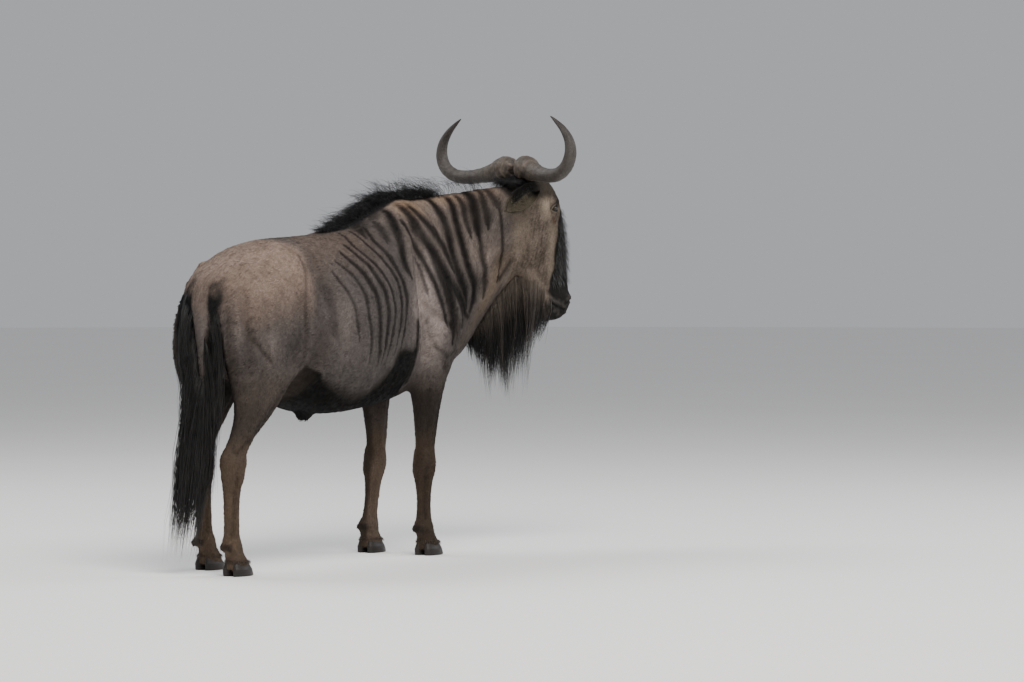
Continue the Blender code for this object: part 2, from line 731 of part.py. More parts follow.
def mane_pieces(draw):
    """A low ridge of dense hair, half as high as the mane, and the locks that rise out of it."""
    crest = crest_path()
    rings = []
    for i, (u, z, x) in enumerate(crest):
        high = MANE_HEIGHT * min(1, 0.2 + 6 * i / len(crest), 0.2 + 3 * (1 - i / (len(crest) - 1)))
        rings.append([(x - 0.026, -u, z - 0.03), (x + 0.026, -u, z - 0.03), (x + 0.022, -u, z + 0.010),
                      (x + 0.012, -u + 0.01, z + high), (x - 0.006, -u + 0.01, z + high), (x - 0.020, -u, z + 0.010)])
    pieces = [rings_mesh("ridge", rings)]
    far = lengths_along(crest)

    def over_crest(distance):
        u, z, x = (np.interp(distance, far, crest[:, k]) for k in range(3))
        return Vector((x, -u, z))

    for i in range(MANE_LOCKS):
        s = i / (MANE_LOCKS - 1)
        high = MANE_RISE * min(1, 0.75 + 0.8 * s, 0.45 + 3.0 * (1 - s))
        for row in (-1, 1):
            start = far[-1] * (0.005 + 0.90 * s) + row * 0.010
            reach = draw.uniform(*MANE_REACH)
            root = over_crest(start) + Vector((row * 0.010, 0, 0.012 - LOCK_SINK))
            lean = row * 0.022 + draw.uniform(-0.020, 0.034)
            tip = over_crest(start + reach) + Vector((lean, max(0, start + reach - far[-1]), 0))
            tip.z += high * draw.uniform(0.55, 1.1)
            middle = over_crest(start + reach * 0.30) + Vector((lean * 0.45, 0, high * 1.15))
            facing = Vector((row, 0.15, 0.30)).normalized()
            pieces.append(lock_mesh(arched(root, middle, tip), MANE_WIDTH, 0.011, facing))
    return pieces


def beard_pieces(draw, on_head):
    """A thin core and the locks in three ranks whose roots are on the head, or on the neck."""
    core = []
    for u, z, tip_u, tip_z, x in spline_rows(BEARD, 1):
        low_u, low_z = u + (tip_u - u) * BEARD_CORE, z + (tip_z - z) * BEARD_CORE
        core.append([(x - 0.020, -u, z + 0.010), (x + 0.020, -u, z + 0.010), (x + 0.008, -low_u, low_z),
                     (x - 0.008, -low_u, low_z)])
    pieces = [rings_mesh("core", core)]
    line = spline_rows(BEARD, 8)
    far = lengths_along(line[:, (0, 1, 4)])
    for rank in (-1, 0, 1):
        for i in range(BEARD_LOCKS):
            spot = (i + 0.5 + 0.33 * rank) / BEARD_LOCKS * far[-1]
            u, z, tip_u, tip_z, x = (np.interp(spot, far, line[:, k]) for k in range(5))
            side = rank * BEARD_SPREAD
            root = Vector((x + side * 0.6, -u, z + 0.012 - 0.010 * abs(rank)))
            fall = draw.uniform(0.86, 1.0) if rank else draw.uniform(0.95, 1.0)
            tip = Vector((x + side * draw.uniform(0.5, 1.2), -tip_u, z + (tip_z - z) * fall))
            middle = root.lerp(tip, 0.45) + Vector((rank * 0.028, draw.uniform(-0.020, 0.010), 0))
            tip.y += draw.uniform(-0.030, 0.024)
            if (u > line_at(HEAD_LINE, z)) == on_head:
                pieces.append(lock_mesh(arched(root, middle, tip), BEARD_WIDTH, 0.012, Vector((1, 0, 0))))
    return pieces


def line_at(line, z):
    """The u of a line in side view at a height."""
    return float(np.interp(-z, [-end[1] for end in line], [end[0] for end in line]))


def tail_pieces(draw):
    """Locks round the dock, each rank longer than the one above."""
    pieces = []
    dock = spline_rows(DOCK, 8)
    end = Vector((DOCK[-1][2], -DOCK[-1][0], 0))
    for level, (root_z, tip_z, out) in enumerate(TAIL_HAIR):
        u = np.interp(-root_z, -dock[:, 1], dock[:, 0])
        x = np.interp(-root_z, -dock[:, 1], dock[:, 2])
        for j in range(TAIL_LOCKS):
            angle = 2 * math.pi * (j + 0.5 * (level % 2)) / TAIL_LOCKS + 0.3
            way = Vector((math.cos(angle), math.sin(angle) * 0.75, 0))
            root = Vector((x, -u, root_z)) + way * 0.006
            tip_height = root_z + (tip_z - root_z) * draw.uniform(0.92, 1.0)
            tip = end + Vector((0, 0, tip_height)) + way * out * draw.uniform(0.5, 1.0)
            tip += TAIL_SWING * max(0, 1 - tip_height / DOCK[-1][1]) ** 2
            middle = root.lerp(tip, 0.45) + way * 0.032
            pieces.append(lock_mesh(arched(root, middle, tip), TAIL_WIDTH, 0.016, way))
    return pieces


def material(name):
    red, green, blue, rough, metal = COLOURS[name]
    found = bpy.data.materials.get(name)
    if found:
        return found
    made = bpy.data.materials.new(name)
    made.use_nodes = True
    shader = made.node_tree.nodes["Principled BSDF"]
    shader.inputs["Base Color"].default_value = (red, green, blue, 1.0)
    shader.inputs["Roughness"].default_value = rough
    shader.inputs["Metallic"].default_value = metal
    return made


def node(name, mesh, slot):
    mesh.materials.clear()
    mesh.materials.append(material(slot))
    add_object(name, mesh)


def half_space(line, ahead, margin):
    """Everything ahead of, or behind, a line in side view, moved from it by the margin."""
    way = 1 if ahead else -1
    near = [(u + way * margin, z) for u, z in line]
    far = [(line[0][0] + way * 3.0, line[0][1]), (line[-1][0] + way * 3.0, line[-1][1])]
    ring = near + far[::-1]
    return rings_mesh("half", [[(x, -u, z) for u, z in ring] for x in (-1.0, 1.0)])


def build_body():
    """Torso, neck and legs, parted from one skin."""
    skin = fused_flesh(body_pieces() + head_pieces(), BODY_VOXEL, 10)
    carve_body(skin)
    skin = coarse(skin, BODY_TRIANGLES)
    draw = random.Random(5)
    hair = mane_pieces(draw) + beard_pieces(draw, False)
    skin = combined(skin, hair, "UNION")
    cutters = []
    for kind, side in STANCE:
        outline = FORELEG_CUT if kind == "fore" else HINDLEG_CUT
        low, high = sorted(side * x for x in LEG_CUT_X[kind])
        leg = combined(skin.copy(), [prism(outline, low, high)], "INTERSECT")
        node(kind + "leg_" + SIDE_NAMES[side], leg, "dark_hide")
        cutters.append(prism([(u, z - 0.2 if z == CORONET_Z else z) for u, z in outline], low, high, GAP))
    trunk = combined(skin.copy(), cutters, "DIFFERENCE")
    torso = combined(trunk.copy(), [half_space(SHOULDER_LINE, False, GAP / 2)], "INTERSECT")
    neck = combined(trunk, [half_space(SHOULDER_LINE, True, GAP / 2)], "INTERSECT")
    neck = combined(neck, [half_space(HEAD_LINE, False, GAP / 2)], "INTERSECT")
    node("torso", torso, "hide")
    node("neck", neck, "hide")
    return torso


def build_head():
    skin = fused_flesh(head_pieces() + [neck_mesh()], HEAD_VOXEL, 6)
    carve_head(skin)
    skin = combined(skin, [half_space(HEAD_LINE, True, -SPARE)], "INTERSECT")
    skin = coarse(skin, HEAD_TRIANGLES)
    skin = combined(skin, beard_pieces(random.Random(6), True), "UNION")
    skin = combined(skin, [half_space(HEAD_LINE, True, GAP / 2)], "INTERSECT")
    place = head_matrix()
    solid = grown(skin, GAP)
    behind = grown(bpy.data.objects["neck"].data, GAP)
    horns = []
    for side, name in SIDE_NAMES.items():
        horn = combined(horn_mesh(side), [solid.copy()], "DIFFERENCE")
        horns.append(grown(horn, GAP))
        node("horn_" + name, horn, "horn")
    for side, name in SIDE_NAMES.items():
        ear = combined(ear_mesh(side), [solid.copy(), behind.copy()] + horns, "DIFFERENCE")
        node("ear_" + name, ear, "hide")
        ball = eye_ball(side, EYE_RADIUS, 14, 8)
        socket = eye_ball(side, EYE_RADIUS + GAP, 14, 8)
        opening = ellipsoid_mesh(0, 0, 0, LID_OPENING[0], 0.030, LID_OPENING[1], 16, 8)
        facing = Vector((EYE_FACING.x * side, EYE_FACING.y, EYE_FACING.z))
        turn = facing.to_track_quat("Y", "Z").to_matrix().to_4x4()
        centre = Vector((EYE_AT.x * side, EYE_AT.y, EYE_AT.z)) + facing * EYE_RADIUS
        opening.transform(Matrix.Translation(centre) @ turn)
        for mesh in (ball, socket, opening):
            mesh.transform(place)
        socket = combined(socket, [opening], "UNION")
        skin = combined(skin, [socket], "DIFFERENCE")
        node("eye_" + name, ball, "eye")
    node("head", skin, "face_hide")


def build_hooves():
    for kind, side in STANCE:
        for half, where in ((-side, "inner"), (side, "outer")):
            name = "hoof_" + kind + "_" + SIDE_NAMES[side] + "_" + where
            node(name, claw_mesh(kind, side, half), "hoof")


def build_tail(torso):
    tail = combined(dock_mesh(), tail_pieces(random.Random(7)), "UNION")
    legs = [bpy.data.objects["hindleg_" + name].data for name in SIDE_NAMES.values()]
    tail = combined(tail, [grown(mesh, GAP) for mesh in (torso, *legs)], "DIFFERENCE")
    node("tail", tail, "black_hair")


def settle_origin():
    """Moves every piece so that the origin is on the floor under the middle of the outline."""
    points = np.vstack([coordinates(obj.data)[0] for obj in bpy.context.scene.objects])
    low, high = points.min(axis=0), points.max(axis=0)
    shift = Vector((-(low[0] + high[0]) / 2, -(low[1] + high[1]) / 2, -low[2]))
    for obj in bpy.context.scene.objects:
        obj.data.transform(Matrix.Translation(shift))


def main():
    clear_scene()
    torso = build_body()
    build_head()
    build_hooves()
    build_tail(torso)
    settle_origin()


main()
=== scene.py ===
"""The looks of the wildebeest: one skin with its folds and markings, the short coat, mane, beard and
tail, horns, hooves and eyes, with a camera at the photograph's angle and soft studio light.

Metres, +Z up, with the long tables in millimetres. The animal is modelled in the same tables as its
solids: u is the distance forward of the hind hooves and z the height above the floor. Everything is
then moved by SHIFT into the frame.
"""

import math
from contextlib import contextmanager

import bmesh
import bpy
import numpy as np
from mathutils import Matrix, Vector
from mathutils.bvhtree import BVHTree


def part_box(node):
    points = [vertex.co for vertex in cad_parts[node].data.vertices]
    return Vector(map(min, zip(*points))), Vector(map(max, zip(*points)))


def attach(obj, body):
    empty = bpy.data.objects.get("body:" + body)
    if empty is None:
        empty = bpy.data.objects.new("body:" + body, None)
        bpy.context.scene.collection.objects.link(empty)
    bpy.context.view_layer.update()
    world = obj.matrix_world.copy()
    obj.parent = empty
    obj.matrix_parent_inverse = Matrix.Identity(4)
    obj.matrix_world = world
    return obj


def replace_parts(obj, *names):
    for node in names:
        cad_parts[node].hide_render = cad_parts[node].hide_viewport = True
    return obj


def metres(millimetres):
    """A table in metres, from one in millimetres."""
    return np.round(np.multiply(millimetres, 10.0)) / 10000


def strokes(rows, size=2):
    """Paths, each with its width and height, from rows of these two and then the path's points in turn."""
    rows = [metres(row) for row in rows]
    return [(row[2:].reshape(-1, size), row[0], row[1]) for row in rows]


# How finely the body is cut and how it is fused to one skin, which lies a little below the coat.
SIDES = 36
RINGS_PER_ROW = 6
SKIN_VOXEL = 0.0072
SKIN_ROUNDS = 9
SKIN_DEPTH = 0.003
SKIN_SHADE = 0.94

# Waves in one random value, the relief that has its full shade, how square the outlines are, how the
# upper and lower line share the widest place, and where the finer mesh of the head begins.
WAVES = 7
FULL_RELIEF = 0.005
TRUNK_SQUARE, NECK_SQUARE, SKULL_SQUARE, LEG_SQUARE = 2.3, 2.0, 2.7, 2.15
NECK_SHARES, SKULL_SHARES, LEG_SHARES = (0.45, 0.55), (0.58, 0.42), (0.5, 0.5)
HEAD_FROM_Z, HEAD_FROM_U = 0.85, 1.38

# Head: the poll is the top of the skull, between the horns. Yaw turns the nose to the animal's left.
POLL = Vector((-0.195, -1.570, 1.405))
HEAD_YAW = math.radians(-10)
HEAD_PITCH = math.radians(-5)
EYE_RADIUS = 0.0205
EYE_AT = Vector((0.0665, -0.078, -0.104))
EYE_FACING = Vector((0.90, -0.42, 0.05)).normalized()
LID_THICK = 0.0045

# Legs: how far each hoof is set forward of its leg's own line, how far its knee or hock is, and how
# far the knee or hock is set in towards the middle.
STANCE = {
    ("fore", -1): (-0.020, -0.018, 0.000),
    ("fore", 1): (-0.060, 0.022, 0.000),
    ("hind", -1): (-0.075, 0.000, 0.000),
    ("hind", 1): (0.075, 0.020, 0.026),
}
STANCE_TOP_Z = 0.72
CORONET_Z = 0.047
CLEFT = 0.004

# Side view of the trunk: u, back z, belly z, z of the widest point, half width.
TRUNK = metres((
    (-150, 975, 890, 930, 25), (-135, 1015, 820, 930, 70), (-95, 1068, 750, 925, 112),
    (-25, 1115, 705, 930, 155), (70, 1158, 680, 940, 188), (180, 1185, 640, 940, 203),
    (290, 1197, 592, 910, 214), (420, 1203, 556, 865, 236), (560, 1216, 547, 850, 254),
    (700, 1256, 556, 860, 248), (840, 1312, 574, 890, 222), (960, 1342, 596, 920, 198),
    (1060, 1340, 628, 940, 180), (1150, 1290, 690, 950, 150), (1220, 1180, 790, 950, 95),
))

# Neck: u and z of the crest, u and z of the throat line, half width, centre x.
NECK = metres((
    (860, 1320, 900, 680, 185, 0), (1020, 1342, 1125, 668, 172, 0), (1130, 1350, 1314, 718, 146, -15),
    (1230, 1362, 1420, 842, 120, -48), (1320, 1376, 1487, 947, 104, -90),
    (1410, 1390, 1550, 1028, 94, -135), (1480, 1398, 1607, 1083, 88, -168),
    (1530, 1398, 1634, 1130, 80, -186),
))

# Head in its own frame: forward and z of the face line, forward and z of the jaw line, half width.
SKULL = metres((
    (50, 34, -40, 30, 42), (90, 14, -75, 8, 68), (126, -30, -90, -40, 80), (150, -80, -97, -92, 82),
    (164, -130, -100, -150, 77), (177, -190, -98, -214, 70), (187, -250, -86, -276, 62),
    (189, -310, -60, -338, 55), (187, -370, -26, -394, 51), (184, -420, 2, -440, 56),
    (178, -465, 20, -484, 65), (162, -505, 32, -522, 64), (126, -533, 52, -544, 46),
))

# Legs from the top down: z, u of the front edge, u of the back edge, half width, centre x.
FORELEG = metres((
    (1200, 1030, 930, 30, 100), (1100, 1110, 910, 55, 110), (990, 1180, 915, 70, 118),
    (880, 1215, 915, 76, 123), (780, 1200, 920, 73, 127), (710, 1160, 930, 65, 130),
    (640, 1128, 955, 57, 130), (560, 1110, 985, 50, 128), (470, 1099, 1004, 43, 126),
    (400, 1093, 1011, 39, 125), (350, 1100, 1003, 44, 125), (315, 1098, 1000, 43, 125),
    (275, 1084, 1009, 35, 125), (210, 1078, 1013, 29, 125), (145, 1079, 1011, 30, 125),
    (110, 1088, 1000, 36, 125), (80, 1094, 1014, 35, 125), (56, 1109, 1020, 40, 125),
    (20, 1120, 1020, 44, 125),
))
HINDLEG = metres((
    (1110, 200, -10, 45, 90), (1010, 255, -85, 70, 102), (900, 268, -125, 78, 108),
    (800, 262, -132, 77, 112), (720, 238, -112, 70, 117), (640, 184, -78, 59, 122),
    (560, 108, -70, 48, 127), (490, 34, -86, 38, 125), (440, -4, -124, 37, 125), (400, -14, -127, 43, 125),
    (350, -22, -113, 38, 125), (295, -30, -101, 32, 125), (220, -28, -92, 29, 125),
    (150, -20, -85, 30, 125), (112, -6, -85, 37, 125), (82, 6, -67, 35, 125), (56, 28, -57, 40, 125),
    (20, 40, -57, 44, 125),
))

LEGS = {"fore": FORELEG, "hind": HINDLEG}

# Muscles, joints and dewclaws, mirrored: x, u, z, then half sizes along x, u and z.
MUSCLES = metres((
    (118, 130, 1040, 52, 95, 65), (132, 255, 1080, 40, 40, 35), (105, 30, 900, 70, 130, 160),
    (115, 180, 780, 66, 85, 105), (102, 1010, 1110, 60, 100, 150), (112, 1130, 885, 70, 85, 100),
    (112, 990, 850, 72, 90, 130),
))
SHEATH = metres((0, 455, 558, 20, 55, 36))
DEWCLAW = metres((19, 12, 14, 17))
DEWCLAW_AT = {"fore": (1.008, 0.100), "hind": (-0.077, 0.102)}

# The same in the head's frame: cheek, brow, upper lip and chin.
FACE = metres((
    (36, 4, -210, 36, 86, 122), (56, 84, -76, 34, 44, 27), (40, 128, -458, 34, 46, 42),
    (20, 72, -510, 34, 32, 32),
))

# Mouth, nostrils, folds and ridges of the head, in its own frame: width, height, then points as
# x, forward and z.
MOUTH = metres(((0, 168, -509), (38, 156, -507), (58, 116, -499), (56, 80, -482), (52, 54, -464)))
NOSTRIL = metres(((40, 181, -450), (53, 168, -464), (61, 147, -468)))
NOSTRIL_TAIL = metres(((60, 150, -468), (64, 138, -464), (65, 130, -472)))
HEAD_STROKES = [
    (MOUTH, 0.0055, -0.009), (MOUTH[:4] + (0, 0, 0.014), 0.009, 0.003),
    (MOUTH[:4] - (0, 0, 0.012), 0.008, 0.003), (NOSTRIL, 0.016, 0.006), (NOSTRIL, 0.0075, -0.013),
] + strokes((
    (6, -4, 0, 187, -472, 0, 171, -503), (22, 4, 76, 72, -140, 70, 90, -180, 60, 104, -270),
    (6, -4, 78, 75, -140, 74, 85, -158), (14, 4, 70, -60, -80, 74, -70, -160, 60, -50, -260),
    (8, 3.5, 48, 100, -60, 68, 92, -66, 82, 66, -76), (6, -2, 52, 108, -135, 60, 106, -145, 70, 88, -140),
    (6, -1.4, 40, 120, -440, 50, 100, -420, 52, 75, -410),
    (5, -1.4, 44, 110, -475, 55, 90, -450, 54, 70, -440),
    (10, -2, 60, 90, -200, 52, 110, -290, 45, 120, -370),
    (11, 3.5, 61, 150, -462, 64, 136, -456, 64, 126, -466),
    (5.5, -8, 60, 150, -468, 64, 138, -464, 65, 130, -472),
    (8, 3, 58, 110, -484, 56, 85, -470, 53, 62, -452),
), 3)

# A horn in the head's frame: x, back, z and radius along its middle.
HORN = metres((
    (12, 36, 58, 14), (18, 36, 60, 32), (36, 36, 62, 46.5), (66, 40, 60, 49.5), (104, 48, 50, 39.5),
    (155, 60, 40, 31.5), (218, 76, 34, 28.5), (282, 88, 41, 27.5), (330, 92, 70, 26.5),
    (353, 90, 115, 24.5), (347, 86, 164, 20.5), (316, 82, 208, 15), (274, 79, 242, 8.5), (244, 77, 262, 2),
))

# The ears in the head's frame: their root, the way each points, and the way its cup faces. The right
# one is laid back along the neck, the left one stands out.
EAR_ROOT = Vector((0.070, 0.030, -0.022))
EAR_ALONG = {-1: Vector((0.24, 0.90, -0.34)).normalized(), 1: Vector((0.66, 0.46, -0.59)).normalized()}
EAR_FACES = {-1: Vector((0.84, -0.06, 0.40)).normalized(), 1: Vector((0.45, -0.83, -0.32)).normalized()}
EAR_LENGTH = 0.180
EAR_WIDTH = 0.032
EAR_BEND = 0.020

# The dock, the fleshy part of the tail: u, z, x and radius.
DOCK = metres((
    (-85, 990, 0, 38), (-128, 968, -4, 34), (-154, 905, -16, 27), (-162, 800, -28, 21),
    (-160, 700, -35, 17), (-158, 610, -38, 10),
))

# The beard from throat to chin: u and z of a root, u and z of the tip below it, and x of both.
BEARD = metres((
    (1429, 813, 1449, 774, -32), (1450, 848, 1463, 735, -55), (1475, 902, 1488, 688, -80),
    (1499, 948, 1519, 642, -105), (1524, 994, 1544, 630, -130), (1563, 1037, 1563, 649, -155),
    (1588, 1025, 1578, 684, -175), (1623, 1005, 1603, 753, -188), (1651, 959, 1634, 807, -197),
    (1665, 908, 1668, 857, -204),
))

BEARD_SPREAD = 0.030

# Dark stripes in side view: half width, strength in thousandths, then points as u and z.
STRIPES = strokes((
    (26, 850, 985, 1190, 1030, 1100, 1075, 1030, 1100, 960, 1125, 900, 1150, 840),
    (6.9, 800, 1390, 1395, 1405, 1368, 1413, 1310, 1416, 1256, 1424, 1188, 1434, 1103, 1433, 1026),
    (14.8, 850, 1385, 1395, 1402, 1360, 1412, 1300),
    (16.5, 900, 1367, 1371, 1360, 1329, 1363, 1283, 1363, 1226),
    (22.3, 1000, 1314, 1394, 1320, 1352, 1319, 1302, 1318, 1245, 1324, 1180),
    (13.2, 800, 1318, 1260, 1324, 1187, 1343, 1103, 1370, 1034, 1367, 965),
    (14.8, 900, 1272, 1348, 1275, 1302, 1276, 1256, 1285, 1195),
    (19.7, 1000, 1233, 1340, 1229, 1294, 1229, 1233, 1237, 1176, 1256, 1104, 1284, 1035, 1314, 970, 1290,
     913),
    (23.9, 1000, 1154, 1332, 1164, 1290, 1168, 1233, 1168, 1165, 1185, 1104, 1204, 1051, 1234, 990, 1263,
     928),
    (22.5, 950, 990, 1305, 1022, 1264, 1062, 1225, 1102, 1180, 1140, 1120, 1175, 1065),
    (31.5, 1000, 940, 1296, 952, 1258, 970, 1206, 1005, 1161, 1043, 1116, 1085, 1074, 1118, 1032, 1174,
     987, 1223, 944, 1276, 894),
    (22, 950, 1077, 1082, 1108, 1025, 1113, 961, 1118, 885, 1109, 795),
    (14.8, 800, 1170, 960, 1217, 914, 1249, 852),
    (17.3, 950, 881, 1254, 904, 1206, 927, 1150, 953, 1094, 994, 1037, 1027, 988, 1048, 932, 1081, 863),
    (9, 650, 904, 1120, 920, 1075, 939, 1023, 959, 978),
    (24.1, 1000, 847, 1288, 833, 1246, 814, 1194, 805, 1142, 807, 1091, 832, 1046),
    (18.5, 750, 758, 1246, 750, 1213, 739, 1176),
    (11.1, 900, 698, 1231, 679, 1187, 699, 1150, 723, 1106, 743, 1069, 770, 1017, 783, 965, 770, 899),
    (16.9, 850, 720, 1309, 725, 1269, 670, 1227, 655, 1194), (9.9, 750, 847, 1318, 808, 1291, 755, 1261),
    (7.5, 850, 601, 1253, 581, 1209, 565, 1168, 589, 1128, 630, 1084, 660, 1036, 683, 981, 688, 922, 670,
     857, 648, 791, 628, 725),
    (7.2, 850, 630, 1216, 631, 1176, 661, 1128, 698, 1080, 723, 1028, 736, 973, 730, 907, 708, 834, 683,
     764),
    (11.1, 880, 527, 1165, 548, 1128, 577, 1092, 610, 1044, 635, 993, 643, 938, 638, 876, 622, 803, 606,
     733),
    (11.7, 900, 477, 1136, 503, 1103, 533, 1066, 562, 1023, 582, 971, 586, 917, 587, 851, 587, 785, 583,
     712),
    (8.8, 720, 424, 1107, 456, 1078, 489, 1038, 516, 994, 526, 939, 533, 877, 539, 804, 539, 742),
    (7.2, 650, 388, 1071, 409, 1027, 439, 984, 460, 936, 471, 878, 477, 816),
    (18.2, 350, 316, 1032, 345, 988, 353, 934, 354, 869, 381, 807),
    (6.4, 780, 727, 1128, 746, 1076, 764, 1021, 775, 965, 761, 892, 741, 811, 728, 745),
))
STRIPE_SINK = 0.0016

# The line round the haunch, where the coat turns from tan to grey-brown, and fainter ones on the thigh.
HAUNCH_LINE = metres((
    (130, 1168), (190, 1161), (224, 1148), (246, 1120), (244, 1080), (228, 1025), (216, 972), (217, 900),
    (227, 828), (222, 771), (207, 735),
))
THIGH_LINES = metres((
    ((-61, 897), (-45, 833), (2, 790), (40, 754)),
    ((-111, 975), (-123, 904), (-131, 817), (-111, 721)),
))
THROAT_LINE = metres(((1440, 1110), (1412, 1000), (1372, 934), (1334, 874), (1293, 825), (1250, 780)))
# A painted shadow along the back edge of the jaw.
JAW_SHADOW_LINE = metres(((1500, 1170), (1475, 1100), (1440, 1040)))
# A painted shade line down the armpit.
ARMPIT_SHADE_LINE = metres(((870, 880), (872, 760), (880, 660)))

# Grooves, ridges, folds and tendons of the body, mirrored, in side view: width, height, then points
# as u and z.
BODY_STROKES = strokes((
    (30, -12, 930, 1220, 895, 1060, 915, 900, 960, 760), (24, 6, 1080, 1230, 1125, 1060, 1150, 950),
    (20, -7, 915, 960, 1000, 900, 1100, 865), (45, 10, 1185, 930, 1190, 900),
    (50, -16, 310, 1080, 330, 980), (26, 9, 250, 625, 310, 700, 345, 800),
    (20, -12, -70, 1000, -72, 860, -62, 720), (18, -5, 20, 960, 10, 840, 0, 700),
    (30, -6, 170, 1020, 205, 880, 160, 740), (40, 10, 205, 750, 195, 720),
    (26, -8, 1500, 1180, 1350, 1020, 1240, 880), (8, -5, 1030, 290, 1032, 140), (8, -5, -72, 340, -64, 140),
    (12, -6, -30, 470, -85, 430),
)) + [
    (HAUNCH_LINE[3:], 0.014, -0.0022), (THIGH_LINES[0], 0.014, -0.0035), (THIGH_LINES[1], 0.016, -0.0040),
] + strokes((
    (16, 2.2, 400, 1060, 430, 800, 420, 660), (16, 2.4, 480, 1080, 515, 800, 505, 640),
    (16, 2.4, 560, 1090, 600, 800, 590, 630), (16, 2.2, 640, 1100, 685, 800, 675, 640),
    (16, 1.8, 725, 1110, 765, 820, 755, 660), (12, -4.5, 1010, 780, 1085, 740, 1150, 760),
    (16, -5, 1130, 930, 1165, 830, 1120, 730), (14, -4.5, 930, 1000, 955, 880, 995, 790),
    (30, 5, 990, 1060, 1020, 960, 1050, 860), (14, 4, 1020, 720, 1060, 660, 1065, 600),
    (10, -4, 1000, 620, 1020, 500, 1028, 410), (10, -3.5, 1075, 640, 1068, 520, 1060, 420),
    (7, -3.5, 1024, 330, 1024, 240, 1028, 140), (10, 3, 1055, 395, 1062, 370, 1055, 345),
    (9, 2.8, 1020, 395, 1015, 365), (8, -5, -60, 600, -85, 500, -100, 440),
    (10, -4, 130, 640, 60, 560, 10, 490), (12, 3, 60, 640, 10, 560, -30, 500),
    (10, 3, -30, 400, -40, 370, -35, 330), (7, -3.5, -82, 380, -78, 260, -70, 150),
    (12, -3.5, -150, 780, -120, 680, -80, 600),
))

# Dark lines along the haunch line and the thigh's grooves, partly where the coat turns colour and partly
# painted shade in the creases: path, half width and strength.
COAT_AND_CREASE_SHADE_LINES = ((HAUNCH_LINE, 0.0080, 0.50), (THIGH_LINES[0], 0.011, 0.70), (THIGH_LINES[1], 0.018, 0.75))

# Colours of the coat, in the render's linear values.
TAN = (0.212, 0.154, 0.123)
GREY_BROWN = (0.071, 0.061, 0.057)
BACK_BROWN = (0.095, 0.072, 0.060)
SHOULDER_GREY = (0.215, 0.172, 0.153)
# A pale for the painted highlights on the shoulder, haunch and thigh.
PAINTED_HIGHLIGHT_PALE = (0.330, 0.265, 0.238)
NECK_TAN = (0.130, 0.104, 0.090)
THROAT_TAN = (0.125, 0.092, 0.066)
GOLDEN = (0.280, 0.185, 0.118)
# Black of the underside, partly its own colour and partly painted shade; also the painted shade of the armpit
# and of the legs' inner faces.
BELLY_BLACK_AND_SHADE = (0.0045, 0.0040, 0.0030)
# Dark brown of the upper legs, also laid as painted shade in the body's hollows and creases.
UPPER_LEG_AND_SHADE = (0.035, 0.027, 0.022)
LOWER_LEG = (0.092, 0.064, 0.044)
LEG_HAIR = (0.055, 0.040, 0.031)
CHEEK_TAN = (0.148, 0.115, 0.092)
CHEEK_DARK = (0.055, 0.042, 0.033)
CHEEK_PALE = (0.400, 0.325, 0.245)
# The near-black of the stripes, also used for the painted shadow along the jaw.
STRIPE_AND_SHADOW_BROWN = (0.0065, 0.0055, 0.0050)
FACE_BLACK = (0.014, 0.013, 0.012)
BLAZE_GREY = (0.068, 0.067, 0.066)
# Grey of the muzzle, also a painted highlight along the upper lip and over the nostrils.
MUZZLE_GREY_AND_HIGHLIGHT = (0.060, 0.054, 0.050)
HAIR_BLACK = (0.0110, 0.0105, 0.0105)
BEARD_BROWN = (0.042, 0.036, 0.032)
BEARD_ROOT = (0.170, 0.134, 0.106)
BROW = (0.042, 0.034, 0.027)
TAIL_BLACK = (0.0170, 0.0160, 0.0155)
EAR_BROWN = (0.080, 0.068, 0.048)

# The upper edge of the black on the belly, partly the coat's own dark underside and partly painted shade, in
# side view: u, then z.
BELLY_EDGE = metres((
    (160, 190, 215, 245, 284, 349, 409, 506, 558, 603, 655, 700, 760, 820, 870),
    (600, 660, 700, 736, 722, 681, 650, 618, 609, 622, 665, 730, 780, 770, 620),
))

